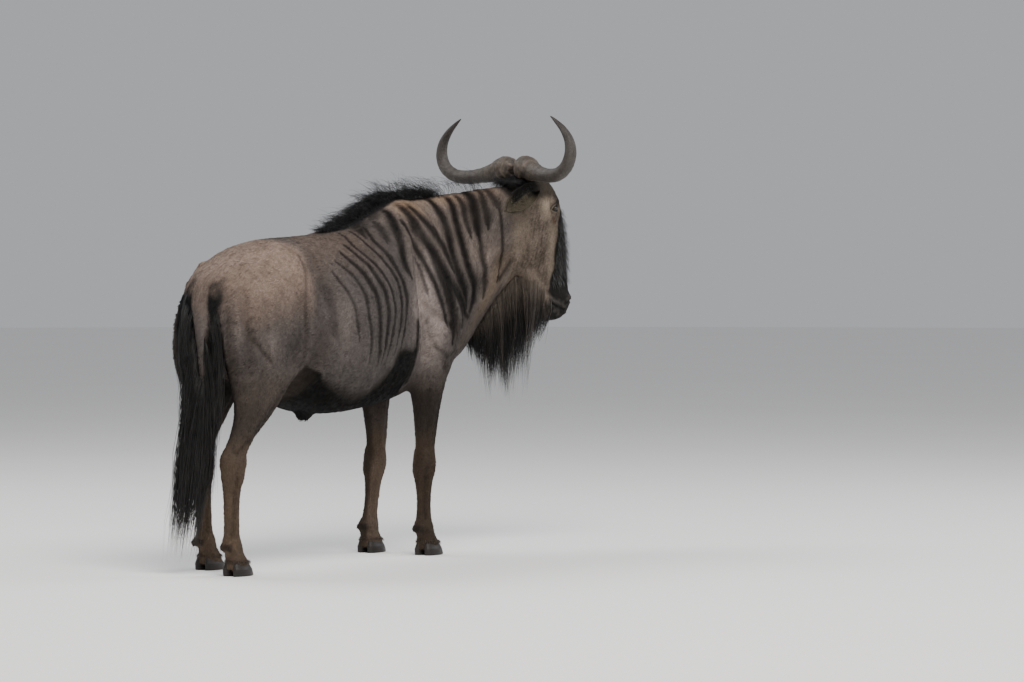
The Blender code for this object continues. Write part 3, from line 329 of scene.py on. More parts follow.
# Broad lighter and darker areas of the coat in side view, partly its own tones and partly painted highlight
# and painted shade: u, z and half sizes in millimetres, colour, strength.
# The painted highlights lie on the haunch, thigh and shoulder; the painted shade on the thigh, in the flank's
# hollow, beside the tail and on the upper arm.
PATCHES_OF_TONE_AND_PAINTED_LIGHT = (
    (20, 1020, 110, 120, TAN, 0.55), (140, 1090, 150, 110, TAN, 0.95), (-20, 1030, 60, 70, TAN, 0.45),
    (-45, 890, 70, 120, UPPER_LEG_AND_SHADE, 0.45), (60, 880, 60, 70, GREY_BROWN, 0.5),
    (120, 840, 70, 100, UPPER_LEG_AND_SHADE, 0.22), (-130, 1020, 30, 80, UPPER_LEG_AND_SHADE, 0.65),
    (-110, 870, 50, 80, PAINTED_HIGHLIGHT_PALE, 0.22), (30, 800, 60, 60, PAINTED_HIGHLIGHT_PALE, 0.25),
    (-20, 930, 80, 50, TAN, 0.45), (300, 790, 55, 110, UPPER_LEG_AND_SHADE, 0.55),
    (410, 900, 60, 120, SHOULDER_GREY, 0.28), (1270, 960, 70, 100, GREY_BROWN, 0.7),
    (1380, 1260, 90, 70, GREY_BROWN, 0.6), (925, 960, 80, 140, PAINTED_HIGHLIGHT_PALE, 0.84),
    (1020, 860, 70, 80, PAINTED_HIGHLIGHT_PALE, 0.42), (970, 780, 60, 70, PAINTED_HIGHLIGHT_PALE, 0.42),
    (1100, 940, 35, 90, UPPER_LEG_AND_SHADE, 0.8), (1150, 850, 40, 60, UPPER_LEG_AND_SHADE, 0.8),
    (1060, 720, 30, 50, UPPER_LEG_AND_SHADE, 0.6), (980, 1315, 90, 45, GOLDEN, 0.8),
    (1200, 1350, 100, 30, GOLDEN, 0.6), (1380, 1385, 60, 25, GOLDEN, 0.45),
    (800, 1280, 60, 45, NECK_TAN, 0.7),
)

# The front edge of the tan cheek, where the black blaze begins: head z and forward, from the brow down.
BLAZE_EDGE = metres((
    (-520, -436, -408, -336, -247, -159, -123, -90, -50),
    (-60, 34, 58, 86, 95, 106, 124, 150, 200),
))

# The lower edge of the jaw, from the table of the head: z, then forward.
JAW_EDGE = SKULL[10:4:-1, 3], SKULL[10:4:-1, 2]

# The front of the forelock, down from the horns: depth below the poll, then forward.
FORELOCK_LINE = ((-0.075, -0.034, -0.014, 0.030, 0.080), (0.036, 0.050, 0.090, 0.126, 0.150))

# Light and camera, as the photograph has them: degrees, metres and the lens in pixels.
PHOTO_WIDTH = 1024
SENSOR_MM = 36.0
VIEW_TURN = math.radians(215.5)
VIEW_DISTANCE = 13.5
LENS_PX = 3790.0
HIND_HOOVES_LEFT_PX = 288.0
EYE_LEVEL_PX = 328.0
TILT_PX = 96.0
FLOOR_RADIUS = 40.0
CLIP_END = 100
LIT_MIDDLE = Vector((0, -0.75, 0.9))

# How finely the pieces are cut.
DOCK_SIDES = 10
HORN_STEPS = 8
HORN_SIDES = 44
EAR_STEPS = 36
EAR_ARC = 28
CLAW_STEPS = 26
CLAW_SIDES = 40

# The lids' opening in radians, the bare skin round the eye, and how deep a strand's root is set.
LID_LONG = 1.00
LID_HIGH = 0.40
LID_LOW = 0.34
BARE_ROUND_EYE = 0.0225
ROOT_DEPTH = 0.002

# How many tufts are in one piece of the coat, how dense the blaze is, and how many locks grow where.
TUFTS_IN_PIECE = 18000
BLAZE_DENSITY = 30000
LASHES = 16
MANE_TUFTS = 330
FRINGE_TUFTS = 60
NAPE_TUFTS = 220
CORONET_TUFTS = 34
BEARD_TUFTS = 32
TAIL_TUFTS = 170
FORELOCK_TUFTS = 90
EAR_TUFTS = 60

# How far the tip of the tail hair is blown aside, and the angle in degrees where it leaves the dock.
TAIL_SWING = (0.105, 0.028, 0.0)
TAIL_SIDE = 35

# Colours of the horns, hooves, glands, lips with painted shade in mouth and nostrils, and eyes, of the floor
# and of the room.
HORN_MID = (0.066, 0.057, 0.050)
HORN_BOSS = (0.068, 0.053, 0.042)
HORN_PALE = (0.160, 0.126, 0.100)
HORN_DARK = (0.030, 0.024, 0.020)
HORN_TIP = (0.034, 0.028, 0.025)
HOOF_GREY = (0.019, 0.015, 0.013)
GLAND_BROWN = (0.075, 0.040, 0.024)
# Black of the lips, also painted shade in the mouth's line and the nostrils.
LIP_BLACK_AND_SHADE = (0.003, 0.003, 0.003)
EYE_BROWN = (0.014, 0.009, 0.007)
IRIS_BROWN = (0.030, 0.014, 0.007)
PUPIL_BLACK = (0.003, 0.003, 0.004)
FLOOR_PALE = ((0.88, 0.87, 0.85, 1), (0.92, 0.91, 0.89, 1))
ROOM_PALE = (0.86, 0.88, 0.92, 1)

# Half a hoof from the coronet down: z, then how far its toe, heel and half width go.
CLAW = metres(((46, -1, -1, 17), (24, 12.2, 4.2, 21.4), (3.5, 20.3, 3.4, 21.5), (0.4, 19, 2.2, 20.2)))

# One tuft of the short coat: its faces, and for each corner its shade, its place in the bake and its lean.
TUFT_FACES = ((0, 1, 4), (0, 4, 3), (1, 2, 5), (1, 5, 4), (2, 0, 3), (2, 3, 5), (3, 4, 6), (4, 5, 6),
              (5, 3, 6), (0, 2, 1))
TUFT_SHADES = np.array((0.82, 0.82, 0.85, 1.0, 1.0, 1.04, 1.15))[:, None]
TUFT_SPOTS = np.array(((-1, -1), (1, -1), (0, -1), (-1, 0), (1, 0), (0, 0.3), (0, 1)))
TUFT_LEANS = np.array((-0.35, 0.35, 0.0, -0.35, 0.35, 0.0, 0.0))[:, None]
UV_PATCH = 0.003
STRAND_SEED = 77


def circle(count):
    """So many angles, evenly round a circle."""
    return [2 * math.pi * i / count for i in range(count)]


def mirrored(place, side):
    return Vector((place.x * side, place.y, place.z))


def unit(rows, least=1e-9):
    """Rows of vectors, each brought to length 1."""
    return rows / np.maximum(np.linalg.norm(rows, axis=-1), least)[..., None]


def spline_rows(rows, steps):
    """Rows joined by a smooth curve, with so many steps between each pair."""
    rows = np.array(rows, float)
    padded = np.vstack([2 * rows[0] - rows[1], rows, 2 * rows[-1] - rows[-2]])
    found = []
    for i in range(len(rows) - 1):
        p0, p1, p2, p3 = padded[i : i + 4]
        found += [0.5 * (2 * p1 + (p2 - p0) * t + (2 * p0 - 5 * p1 + 4 * p2 - p3) * t**2
                         + (3 * p1 - p0 - 3 * p2 + p3) * t**3) for t in np.arange(steps) / steps]
    return np.array(found + [rows[-1]])


def add_object(name, mesh):
    obj = bpy.data.objects.new(name, mesh)
    bpy.context.scene.collection.objects.link(obj)
    return obj


@contextmanager
def editing(mesh, *sources):
    """A bmesh of the sources to work on, written to the mesh at the end."""
    work = bmesh.new()
    for source in sources:
        work.from_mesh(source)
    yield work
    work.to_mesh(mesh)
    work.free()


def rings_mesh(name, rings, tip=False):
    """A closed tube through rings of points, its ends filled, or drawn to a point at the last ring."""
    count = len(rings[0])
    last = (len(rings) - 1) * count
    points = [tuple(p) for ring in rings for p in ring]
    faces = [tuple(range(count))[::-1]]
    for start in range(0, last, count):
        for j in range(count):
            k = (j + 1) % count
            faces.append((start + j, start + k, start + count + k, start + count + j))
    if tip:
        points = points[:last] + [tuple(np.mean(rings[-1], axis=0))]
        faces = [f for f in faces if max(f) < last]
        faces += [(last - count + j, last - count + (j + 1) % count, last) for j in range(count)]
    else:
        faces.append(tuple(range(last, last + count)))
    mesh = bpy.data.meshes.new(name)
    mesh.from_pydata(points, [], faces)
    mesh.update()
    with editing(mesh, mesh) as work:
        bmesh.ops.recalc_face_normals(work, faces=work.faces)
        if work.calc_volume(signed=True) < 0:
            bmesh.ops.reverse_faces(work, faces=work.faces)
    return mesh


def section(top, bottom, middle, half_width, centre_x, square):
    """One outline round the body: top, bottom and widest point in side view, and the half width.

    The higher the value of square, the fuller the corners; at 2 it is an ellipse.
    """
    ring = []
    for angle in circle(SIDES):
        side, rise = (math.copysign(abs(v) ** (2 / square), v) for v in (math.cos(angle), math.sin(angle)))
        spot = middle + (top - middle if rise > 0 else bottom - middle) * abs(rise)
        ring.append((centre_x + half_width * side, -spot[0], spot[1]))
    return ring


def trunk_mesh():
    return rings_mesh("trunk", [section(*(np.array((u, z)) for z in heights), half, 0.0, TRUNK_SQUARE)
                                for u, *heights, half in spline_rows(TRUNK, RINGS_PER_ROW)])


def tube_mesh(name, rows, shares, square):
    """A tube from rows of its upper and lower place in side view, half width and centre x."""
    rings = []
    for *ends, half, x in rows:
        top, low = np.array(ends[:2]), np.array(ends[2:])
        rings.append(section(top, low, top * shares[0] + low * shares[1], half, x, square))
    return rings_mesh(name, rings)


def head_matrix():
    turn = Matrix.Rotation(HEAD_YAW, 4, "Z") @ Matrix.Rotation(HEAD_PITCH, 4, "X")
    return Matrix.Translation(POLL) @ turn


def stance_shift(kind, side, z):
    """How far forward of its own line a leg stands at this height."""
    hoof, knee, _ = STANCE[kind, side]
    rise = np.clip(np.asarray(z) / STANCE_TOP_Z, 0.0, 1.0)
    return hoof * (1 - rise) + knee * np.sin(np.pi * rise)


def leg_mesh(kind, side):
    rows = []
    for z, front, back, half, x in spline_rows(LEGS[kind], RINGS_PER_ROW):
        shift = float(stance_shift(kind, side, z))
        inward = STANCE[kind, side][2] * float(np.sin(np.pi * np.clip(z / STANCE_TOP_Z, 0, 1)))
        rows.append((front + shift, z, back + shift, z, half, side * (x - inward)))
    return tube_mesh("leg", rows, LEG_SHARES, LEG_SQUARE)


def ellipsoid_mesh(x, u, z, rx, ru, rz, segments=24, rings=16):
    mesh = bpy.data.meshes.new("ellipsoid")
    place = Matrix.Translation((x, -u, z)) @ Matrix.Diagonal((rx, ru, rz, 1))
    with editing(mesh) as work:
        bmesh.ops.create_uvsphere(work, u_segments=segments, v_segments=rings, radius=1, matrix=place)
    return mesh


def joined(name, meshes):
    mesh = bpy.data.meshes.new(name)
    with editing(mesh, *meshes):
        return mesh


def fused_flesh(meshes):
    """Overlapping closed meshes made into one skin, its joins rounded off."""
    obj = add_object("flesh", joined("flesh", meshes))
    remesh = obj.modifiers.new("fuse", "REMESH")
    remesh.mode = "VOXEL"
    remesh.voxel_size = SKIN_VOXEL
    rounding = obj.modifiers.new("round", "SMOOTH")
    rounding.factor = 0.5
    rounding.iterations = SKIN_ROUNDS
    mesh = bpy.data.meshes.new_from_object(obj.evaluated_get(bpy.context.evaluated_depsgraph_get()))
    bpy.data.objects.remove(obj, do_unlink=True)
    return mesh


def to_segments(points, path):
    """The distance from each point to a path of straight segments."""
    nearest = np.full(len(points), 1e9)
    for start, end in zip(path[:-1], path[1:]):
        start, along = np.array(start), np.array(end) - np.array(start)
        t = np.clip((points - start) @ along / (along @ along), 0, 1)
        nearest = np.minimum(nearest, np.linalg.norm(points - start - t[:, None] * along, axis=1))
    return nearest


def coordinates(mesh):
    found = np.empty((2, len(mesh.vertices) * 3))
    for row, kind in zip(found, ("co", "normal")):
        mesh.vertices.foreach_get(kind, row)
    return found.reshape(2, -1, 3)


def eye_ball(side, radius, segments=24, rings=16):
    """A ball at the eye's place, in the head's frame."""
    return ellipsoid_mesh(side * EYE_AT.x, -EYE_AT.y, EYE_AT.z, radius, radius, radius, segments, rings)


def head_pieces():
    """Skull, face muscles and the balls that carry the lids, all placed on the neck."""
    rows = [(*row, 0.0) for row in spline_rows(SKULL, RINGS_PER_ROW)]
    pieces = [tube_mesh("skull", rows, SKULL_SHARES, SKULL_SQUARE)]
    for side in (-1, 1):
        pieces += [ellipsoid_mesh(side * m[0], *m[1:]) for m in FACE]
        pieces.append(eye_ball(side, EYE_RADIUS + LID_THICK))
    for piece in pieces:
        piece.transform(head_matrix())
    return pieces


def body_pieces():
    neck = tube_mesh("neck", spline_rows(NECK, RINGS_PER_ROW), NECK_SHARES, NECK_SQUARE)
    pieces = [trunk_mesh(), neck, ellipsoid_mesh(*SHEATH)]
    pieces += [leg_mesh(kind, side) for kind, side in STANCE]
    for side in (-1, 1):
        pieces += [ellipsoid_mesh(side * m[0], *m[1:]) for m in MUSCLES]
        for kind, (u, z) in DEWCLAW_AT.items():
            u += float(stance_shift(kind, side, z))
            centre = side * FORELEG[-1][4]
            pieces += [ellipsoid_mesh(centre + x, u, z, *DEWCLAW[1:]) for x in (-DEWCLAW[0], DEWCLAW[0])]
    return pieces


def dock_mesh():
    return rings_mesh("dock", [
        [(x + math.cos(a) * radius, -u + math.sin(a) * radius * 0.8, z) for a in circle(DOCK_SIDES)]
        for u, z, x, radius in spline_rows(DOCK, 2)])


def crest_path():
    """Points along the top of the neck and withers, from the poll back."""
    crest = [(u, z - 0.012, x) for u, z, _, _, _, x in NECK[::-1] if u > 0.9]
    back = [(u, z - 0.012, 0.0) for u, z, _, _, _ in TRUNK[::-1] if 0.5 < u < 0.9]
    return spline_rows(crest + back, 3)


def lengths_along(path):
    """The distance from the start of a path to each of its points."""
    return np.concatenate([[0], np.cumsum(np.linalg.norm(np.diff(path, axis=0), axis=1))])


def smooth(low, high, value):
    """0 below low, 1 above high, with an even curve between."""
    t = np.clip((value - low) / (high - low), 0, 1)
    return t * t * (3 - 2 * t)


def bell(value):
    """1 at 0, falling away to both sides."""
    return np.exp(-(value**2))


def patch(across, up, at, size):
    """1 in the middle of an oval patch, falling away round it."""
    return np.exp(-(((across - at[0]) / size[0]) ** 2 + ((up - at[1]) / size[1]) ** 2))


def beside(points, path, width):
    """1 on a path of straight segments, falling away beside it."""
    return bell(to_segments(points, path) / width)


def wobble(points, size, seed):
    """A smooth random value from -1 to 1 that changes over about this size."""
    draw = np.random.default_rng(seed)
    total = np.zeros(len(points))
    for _ in range(WAVES):
        way = draw.normal(size=3)
        way *= draw.uniform(0.7, 1.6) * 2.2 / (size * np.linalg.norm(way))
        total += np.sin(points @ way + draw.uniform(0, 2 * math.pi))
    return total / WAVES * 1.6


def layered(colours, *layers):
    """The colours with each layer, a colour and its strength at each point, blended over them in turn."""
    for tone, amount in layers:
        colours = colours + (np.asarray(tone) - colours) * np.asarray(amount)[:, None]
    return colours


def in_head(points):
    """The points in the head's frame, as x, forward and z."""
    back = np.array(head_matrix().inverted())
    return (points @ back[:3, :3].T + back[:3, 3]) * (1, -1, 1)


def in_side_view(points):
    """u and z of the points, with the stance taken out of the legs."""
    u, z = -points[:, 1], points[:, 2]
    fore = u > 0.6
    for kind, which in STANCE:
        leg = (fore == (kind == "fore")) & ((points[:, 0] >= 0) == (which > 0)) & (z < STANCE_TOP_Z)
        u[leg] -= stance_shift(kind, which, z[leg])
    return np.column_stack([u, z])


def head_share(points):
    """1 on the head, 0 behind the cheeks."""
    _, ahead, z = in_head(points).T
    return smooth(-0.135, -0.095, ahead + 0.03 * smooth(-0.05, 0.02, z) + wobble(points, 0.03, 3) * 0.006)


def beside_curve(points, path):
    """The distance from each point to a smooth curve, and how far along it the nearest place is."""
    curve = spline_rows(path, 3)
    nearest, along = np.full(len(points), 1e9), np.zeros(len(points))
    near = (points > curve.min(0) - 0.08).all(1) & (points < curve.max(0) + 0.08).all(1)
    close = points[near]
    found, share = np.full(len(close), 1e9), np.zeros(len(close))
    for i in range(len(curve) - 1):
        way = curve[i + 1] - curve[i]
        t = np.clip((close - curve[i]) @ way / (way @ way), 0, 1)
        away = np.linalg.norm(close - curve[i] - t[:, None] * way, axis=1)
        share = np.where(away < found, (i + t) / (len(curve) - 1), share)
        found = np.minimum(found, away)
    nearest[near], along[near] = found, share
    return nearest, along


def stripe_share(points, normals):
    """How dark the stripes of neck, withers and flank are at each point."""
    flat = in_side_view(points)
    left = points[:, 0] > 0
    flat[left, 0] += 0.018 * wobble(points[left], 0.35, 11)
    flat[:, 0] += 0.0035 * wobble(points, 0.045, 12)
    found = np.zeros(len(points))
    break_up = 1.02 + 0.14 * wobble(points, 0.06, 13)
    spread = 1.06 + 0.20 * wobble(points, 0.09, 14)
    for path, width, strength in STRIPES:
        away, along = beside_curve(flat, path)
        taper = (0.70 + 0.35 * smooth(0.0, 0.25, along)) * (0.35 + 0.65 * smooth(1.0, 0.78, along))
        found = np.maximum(found, strength * np.exp(-0.75 * (away / (width * spread * taper)) ** 2.8))
    seen = np.abs(normals[:, 0]) + smooth(1.24, 1.32, points[:, 2]) * 0.5
    found *= np.clip(break_up, 0, 1) * smooth(0.10, 0.35, seen)
    return found * (1 - head_share(points)) * smooth(0.66, 0.80, points[:, 2])


def trunk_colour(points, flat, outer, mottle):
    """The tan haunch, grey-brown back and neck, lighter and darker areas with painted highlight and shade,
    and the black belly, partly painted shade.
    """
    u, z = flat.T
    haunch = smooth(0.30, 0.22, u + 0.05 * smooth(1.15, 1.20, z))
    neck = smooth(0.72, 0.90, u) * smooth(0.98, 1.22, z + 0.10 * smooth(1.1, 1.4, u))
    colour = layered(
        np.tile(np.array(GREY_BROWN), (len(points), 1)),
        (TAN, haunch * smooth(0.84, 1.10, z) * 0.85),
        (BACK_BROWN, smooth(1.00, 1.20, z) * smooth(0.28, 0.34, u) * smooth(0.80, 0.55, u)),
        (NECK_TAN, neck),
        (THROAT_TAN, beside(flat, THROAT_LINE, 0.036) * (0.35 + 0.65 * smooth(0.82, 0.95, z)) * 0.80),
        # A painted shadow along the jaw's back edge.
        (STRIPE_AND_SHADOW_BROWN, beside(flat, JAW_SHADOW_LINE, 0.013) * 0.8))
    for *place, tone, amount in PATCHES_OF_TONE_AND_PAINTED_LIGHT:
        place = metres(place)
        colour = layered(colour, (tone, amount * patch(u, z, place[:2], place[2:]) * (0.35 + 0.65 * outer)))
    # The black underside: partly the belly's own dark coat and partly painted shade.
    below = np.interp(u, *BELLY_EDGE) - z + 0.006 * mottle
    soft = 0.008 + 0.045 * smooth(0.26, 0.50, u) * smooth(0.80, 0.65, u)
    low = smooth(-soft, soft * 0.6, below) * smooth(0.150, 0.175, u) * smooth(1.02, 0.94, u)
    colour = layered(colour, (BELLY_BLACK_AND_SHADE, low))
    streaks = wobble(points * (1, 1, 0.30), 0.011, 24) * 0.6 + wobble(points * (1, 1, 0.25), 0.028, 25) * 0.6
    return colour * (1 + 0.30 * streaks * (0.35 + 0.65 * neck))[:, None]


def leg_colour(colour, points, flat, facing_in, mottle):
    """The browns of the legs laid over the body's colour, with painted shade on their inner faces and painted
    light on forelegs and thigh.
    """
    u, z = flat.T
    leg = smooth(0.86, 0.62, z) * smooth(0.32, 0.22, u) + smooth(0.76, 0.60, z) * smooth(0.86, 0.94, u)
    cannon = smooth(0.52, 0.40, z + 0.01 * mottle)
    colour = layered(
        colour,
        (UPPER_LEG_AND_SHADE, np.clip(leg, 0, 1) * 0.9),
        (LOWER_LEG, cannon * (0.75 + 0.25 * wobble(points, 0.04, 23)) * np.where(u > 0.6, 0.70, 1.0)),
        # Painted shade on the legs' inner faces under the body.
        (BELLY_BLACK_AND_SHADE, facing_in * smooth(0.90, 0.78, z) * smooth(0.50, 0.64, z) * 0.85))
    # Painted light and shade on the lower forelegs: lighter on their inner faces, darker on the outer ones.
    fore = smooth(0.60, 0.70, u) * smooth(0.66, 0.58, z)
    colour = colour * (1 + fore * (0.45 * facing_in - 0.36 * (1 - facing_in)))[:, None]
    # A painted highlight low on the thigh and gaskin.
    hind = smooth(0.25, 0.12, u) * smooth(0.80, 0.70, z) * smooth(0.56, 0.64, z) * smooth(-0.10, -0.03, u)
    return colour * (1 + 0.45 * hind)[:, None]


def dark_marks(points, normals, flat, on_head):
    """Layers for the armpit's painted shade, dewclaws, coat lines with painted shade in creases, sides of the
    tail, stripes and crest.
    """
    u, z = flat.T
    # Painted shade in the armpit, in black.
    armpit = smooth(0.872, 0.852, u) * smooth(0.68, 0.74, u) * smooth(0.58, 0.62, z) * smooth(0.80, 0.76, z)
    layers = [(BELLY_BLACK_AND_SHADE, np.clip(armpit + beside(flat, ARMPIT_SHADE_LINE, 0.016), 0, 1) * 0.96)]
    for claw_u, claw_z in DEWCLAW_AT.values():
        away = np.hypot(u - claw_u, z - claw_z)
        layers.append((HOOF_GREY, smooth(0.018, 0.010, away) * smooth(0.010, -0.002, u - claw_u) * 0.7))
    # Darker along these lines: the edge of the haunch's tan, with painted shade in the creases.
    for path, width, amount in COAT_AND_CREASE_SHADE_LINES:
        away, along = beside_curve(flat, path)
        line = bell(away / width) * smooth(0.1, 0.4, np.abs(normals[:, 0])) * smooth(0.0, 0.4, along)
        layers.append((UPPER_LEG_AND_SHADE, line * amount))
    wide = 0.018 + 0.030 * smooth(0.56, 0.64, u) * smooth(1.02, 0.86, u)
    crest_x = np.interp(u, NECK[:, 0], NECK[:, 5])
    crest = smooth(wide + 0.016, wide, np.abs(points[:, 0] - crest_x)) * smooth(0.50, 0.58, u)
    crest = crest * smooth(0.3, 0.6, normals[:, 2]) * smooth(1.20, 1.12, u)
    # Black tail hair with painted shade beside the dock.
    layers.append((HAIR_BLACK, tail_shade(points)))
    layers.append((STRIPE_AND_SHADOW_BROWN, stripe_share(points, normals) * 0.98))
    layers.append((HAIR_BLACK, crest * (1 - on_head)))
    return layers


def relief_shade(flat):
    """Painted highlight on the body's ridges and painted shade in its grooves: how much lighter each place
    is, or darker, below 0.
    """
    relief = np.zeros(len(flat))
    for path, width, rise in BODY_STROKES:
        relief += np.clip(rise / FULL_RELIEF, -1, 1) * beside(flat, path, width * 1.1)
    return np.clip(relief, -1.1, 1.0)


def coat_colour(points, normals):
    """The markings, alike for the skin and for every tuft that grows from it."""
    flat = in_side_view(points)
    outward = normals[:, 0] * np.sign(points[:, 0])
    outer = smooth(0.1, 0.5, outward)
    mottle = wobble(points, 0.05, 21) * 0.5 + wobble(points, 0.012, 22) * 0.5
    on_head = head_share(points)
    colour = trunk_colour(points, flat, outer, mottle)
    colour = leg_colour(colour, points, flat, smooth(0.0, 0.7, -outward), mottle)
    colour = layered(colour, *dark_marks(points, normals, flat, on_head))
    # Painted highlight on ridges and painted shade in grooves, and the coat's own mottling.
    colour = colour * (1 + 0.22 * relief_shade(flat) * outer + 0.14 * mottle)[:, None]
    on_head = on_head[:, None]
    return np.clip(colour * (1 - on_head) + head_colour(points) * on_head, 0.004, 1)


def tail_shade(points):
    """The black bands on both sides of the dock, over the inner edges of the buttocks: black tail hair with
    painted shade between tail and buttocks.
    """
    u, z = -points[:, 1], points[:, 2]
    side = points[:, 0] - np.interp(-z, (-1.03, -0.95, -0.85, -0.75), (0.0, -0.008, -0.022, -0.030))
    width = np.where(side < 0, 0.072 + 0.018 * smooth(0.90, 0.98, z), 0.150)
    strip = smooth(0.030, 0.040, np.abs(side)) * smooth(width, width - 0.020, np.abs(side))
    rough = 0.03 * wobble(points, 0.02, 26)
    return strip * smooth(1.06, 0.97, z + rough) * smooth(0.62, 0.74, z) * smooth(-0.035, -0.075, u)


def head_colour(points):
    """Tan cheeks with dark streaks, a black blaze from the eyes down, and a black muzzle with painted
    highlight and shade at lips and nostrils.
    """
    local = in_head(points)
    side, ahead, z = np.abs(local[:, 0]), local[:, 1], local[:, 2]
    streaks = wobble(points * (1, 1, 0.45), 0.008, 31) * 0.55 + wobble(points * (1, 1, 0.6), 0.022, 32) * 0.45
    streaks += wobble(points, 0.0040, 37) * 0.45
    front = bell((ahead - 0.072) / 0.022) * smooth(-0.14, -0.18, z) * smooth(-0.41, -0.36, z)
    pale = np.clip(patch(ahead, z, (-0.085, -0.165), (0.045, 0.080)) * 0.34 + front * 0.30, 0, 1)
    brow = smooth(-0.080, -0.04, z) + smooth(0.075, 0.10, ahead) * smooth(-0.110, -0.075, z)
    edge = np.interp(z, *BLAZE_EDGE) + 0.006 * wobble(points, 0.03, 33)
    blaze = smooth(-0.007, 0.007, ahead - edge)
    blaze = np.maximum(blaze, smooth(-0.410, -0.440, z + 0.015 * wobble(points, 0.03, 34)))
    outside, rise = lid_opening(points)
    fold = bell((outside - 0.22) / 0.07) * (rise > 0) + bell((outside - 0.30) / 0.11) * (rise <= 0)
    under = smooth(0.070, 0.040, ahead - np.interp(z, *JAW_EDGE))
    whole = np.column_stack([side, ahead, z])
    return layered(
        np.tile(np.array(CHEEK_TAN), (len(points), 1)),
        (CHEEK_DARK, np.clip(0.36 + 0.80 * streaks + 0.26 * smooth(-0.20, -0.34, z), 0, 0.95)),
        (CHEEK_PALE, pale * np.clip(0.75 + 0.5 * streaks, 0, 1)),
        (CHEEK_PALE, patch(ahead, z, (0.035, -0.085), (0.030, 0.045)) * 0.75),
        (BROW, np.clip(brow, 0, 1) * 0.9),
        (HAIR_BLACK, smooth(0.03, -0.01, ahead) * smooth(-0.06, -0.02, z) * 0.8),
        (FACE_BLACK, blaze),
        (BROW, smooth(0.055, 0.030, side) * smooth(0.06, 0.09, ahead) * smooth(-0.10, -0.05, z) * 0.6),
        (CHEEK_DARK, bell(outside / 0.75) * 0.55),
        (CHEEK_PALE, fold * 0.24),
        (FACE_BLACK, bell((outside - 0.44) / 0.07) * (rise > 0) * 0.75),
        (FACE_BLACK, smooth(0.24, 0.11, outside)),
        (GLAND_BROWN, patch(ahead, z, (0.080, -0.150), (0.010, 0.016)) * 0.8),
        (BEARD_ROOT, under * smooth(-0.30, -0.38, z) * smooth(-0.475, -0.445, z) * 0.85),
        (MUZZLE_GREY_AND_HIGHLIGHT, smooth(-0.44, -0.47, z) * np.clip(0.16 + 0.40 * wobble(points, 0.010, 35), 0, 1)),
        # A painted highlight along the upper lip and over the nostrils, and painted shade in the mouth's line
        # and the nostrils, over the lips' own black.
        *((MUZZLE_GREY_AND_HIGHLIGHT, beside(whole, path + (0, 0, shift), 0.008) * 0.95)
          for path, shift in ((MOUTH, 0.014), (NOSTRIL, 0.013), (NOSTRIL_TAIL, 0.012))),
        *((LIP_BLACK_AND_SHADE, beside(whole, path, 0.006)) for path in (MOUTH, NOSTRIL, NOSTRIL_TAIL)))


def about_eye(points, side):
    """Where each point lies about an eye: way, distance, angle outside the lids' opening, and rise."""
    place = head_matrix()
    turn = np.array(place.to_3x3())
    centre = np.array(place @ mirrored(EYE_AT, side))
    out = turn @ (np.array(EYE_FACING) * (side, 1, 1))
    along = np.cross(out, turn @ (0.0, 0.10, 1.0))
    along /= np.linalg.norm(along)
    up = np.cross(along, out)
    offset = points - centre
    radius = np.linalg.norm(offset, axis=1)
    way = offset / radius[:, None]
    a, b = np.arcsin(np.clip(way @ along, -1, 1)), np.arcsin(np.clip(way @ up, -1, 1))
    arc = 1 - (a / LID_LONG) ** 2
    outside = np.where(b > 0, b - LID_HIGH * arc, -b - LID_LOW * arc)
    outside = np.where(np.abs(a) > LID_LONG, np.maximum(outside, np.abs(a) - LID_LONG), outside)
    near = (way @ out > 0.1) & (radius < EYE_RADIUS * 2.2)
    return centre, way, radius, outside, b, near


def lid_opening(points):
    """How far outside the opening between the lids each point is, as an angle, and its rise."""
    found, rise = np.full(len(points), 9.0), np.zeros(len(points))
    for side in (-1, 1):
        _, _, _, outside, b, near = about_eye(points, side)
        found, rise = np.where(near, outside, found), np.where(near, b, rise)
    return found, rise


def carve(mesh, strokes, places, facing):
    """Raises or sinks the surface along each stroke."""
    points, normals = coordinates(mesh)
    height = np.zeros(len(points))
    for path, width, rise in strokes:
        height += rise * beside(places, path, width)
    put_back(mesh, points + normals * (height * facing)[:, None])


def put_back(mesh, points):
    mesh.vertices.foreach_set("co", points.astype(np.float32).ravel())
    mesh.update()


def refine(mesh, wanted, rounds):
    """Halves the faces of the head whose middles are wanted, and rounds them off."""
    with editing(mesh, mesh) as work:
        at = np.array([face.calc_center_median() for face in work.faces])
        taken = wanted(at) & (at[:, 2] > HEAD_FROM_Z) & (-at[:, 1] > HEAD_FROM_U)
        edges = list({edge for face, take in zip(work.faces, taken) if take for edge in face.edges})
        made = bmesh.ops.subdivide_edges(work, edges=edges, cuts=1, use_grid_fill=True)
        new = [part for part in made["geom"] if isinstance(part, bmesh.types.BMVert)]
        for _ in range(rounds):
            bmesh.ops.smooth_vert(work, verts=new, factor=0.5,
                                  use_axis_x=True, use_axis_y=True, use_axis_z=True)


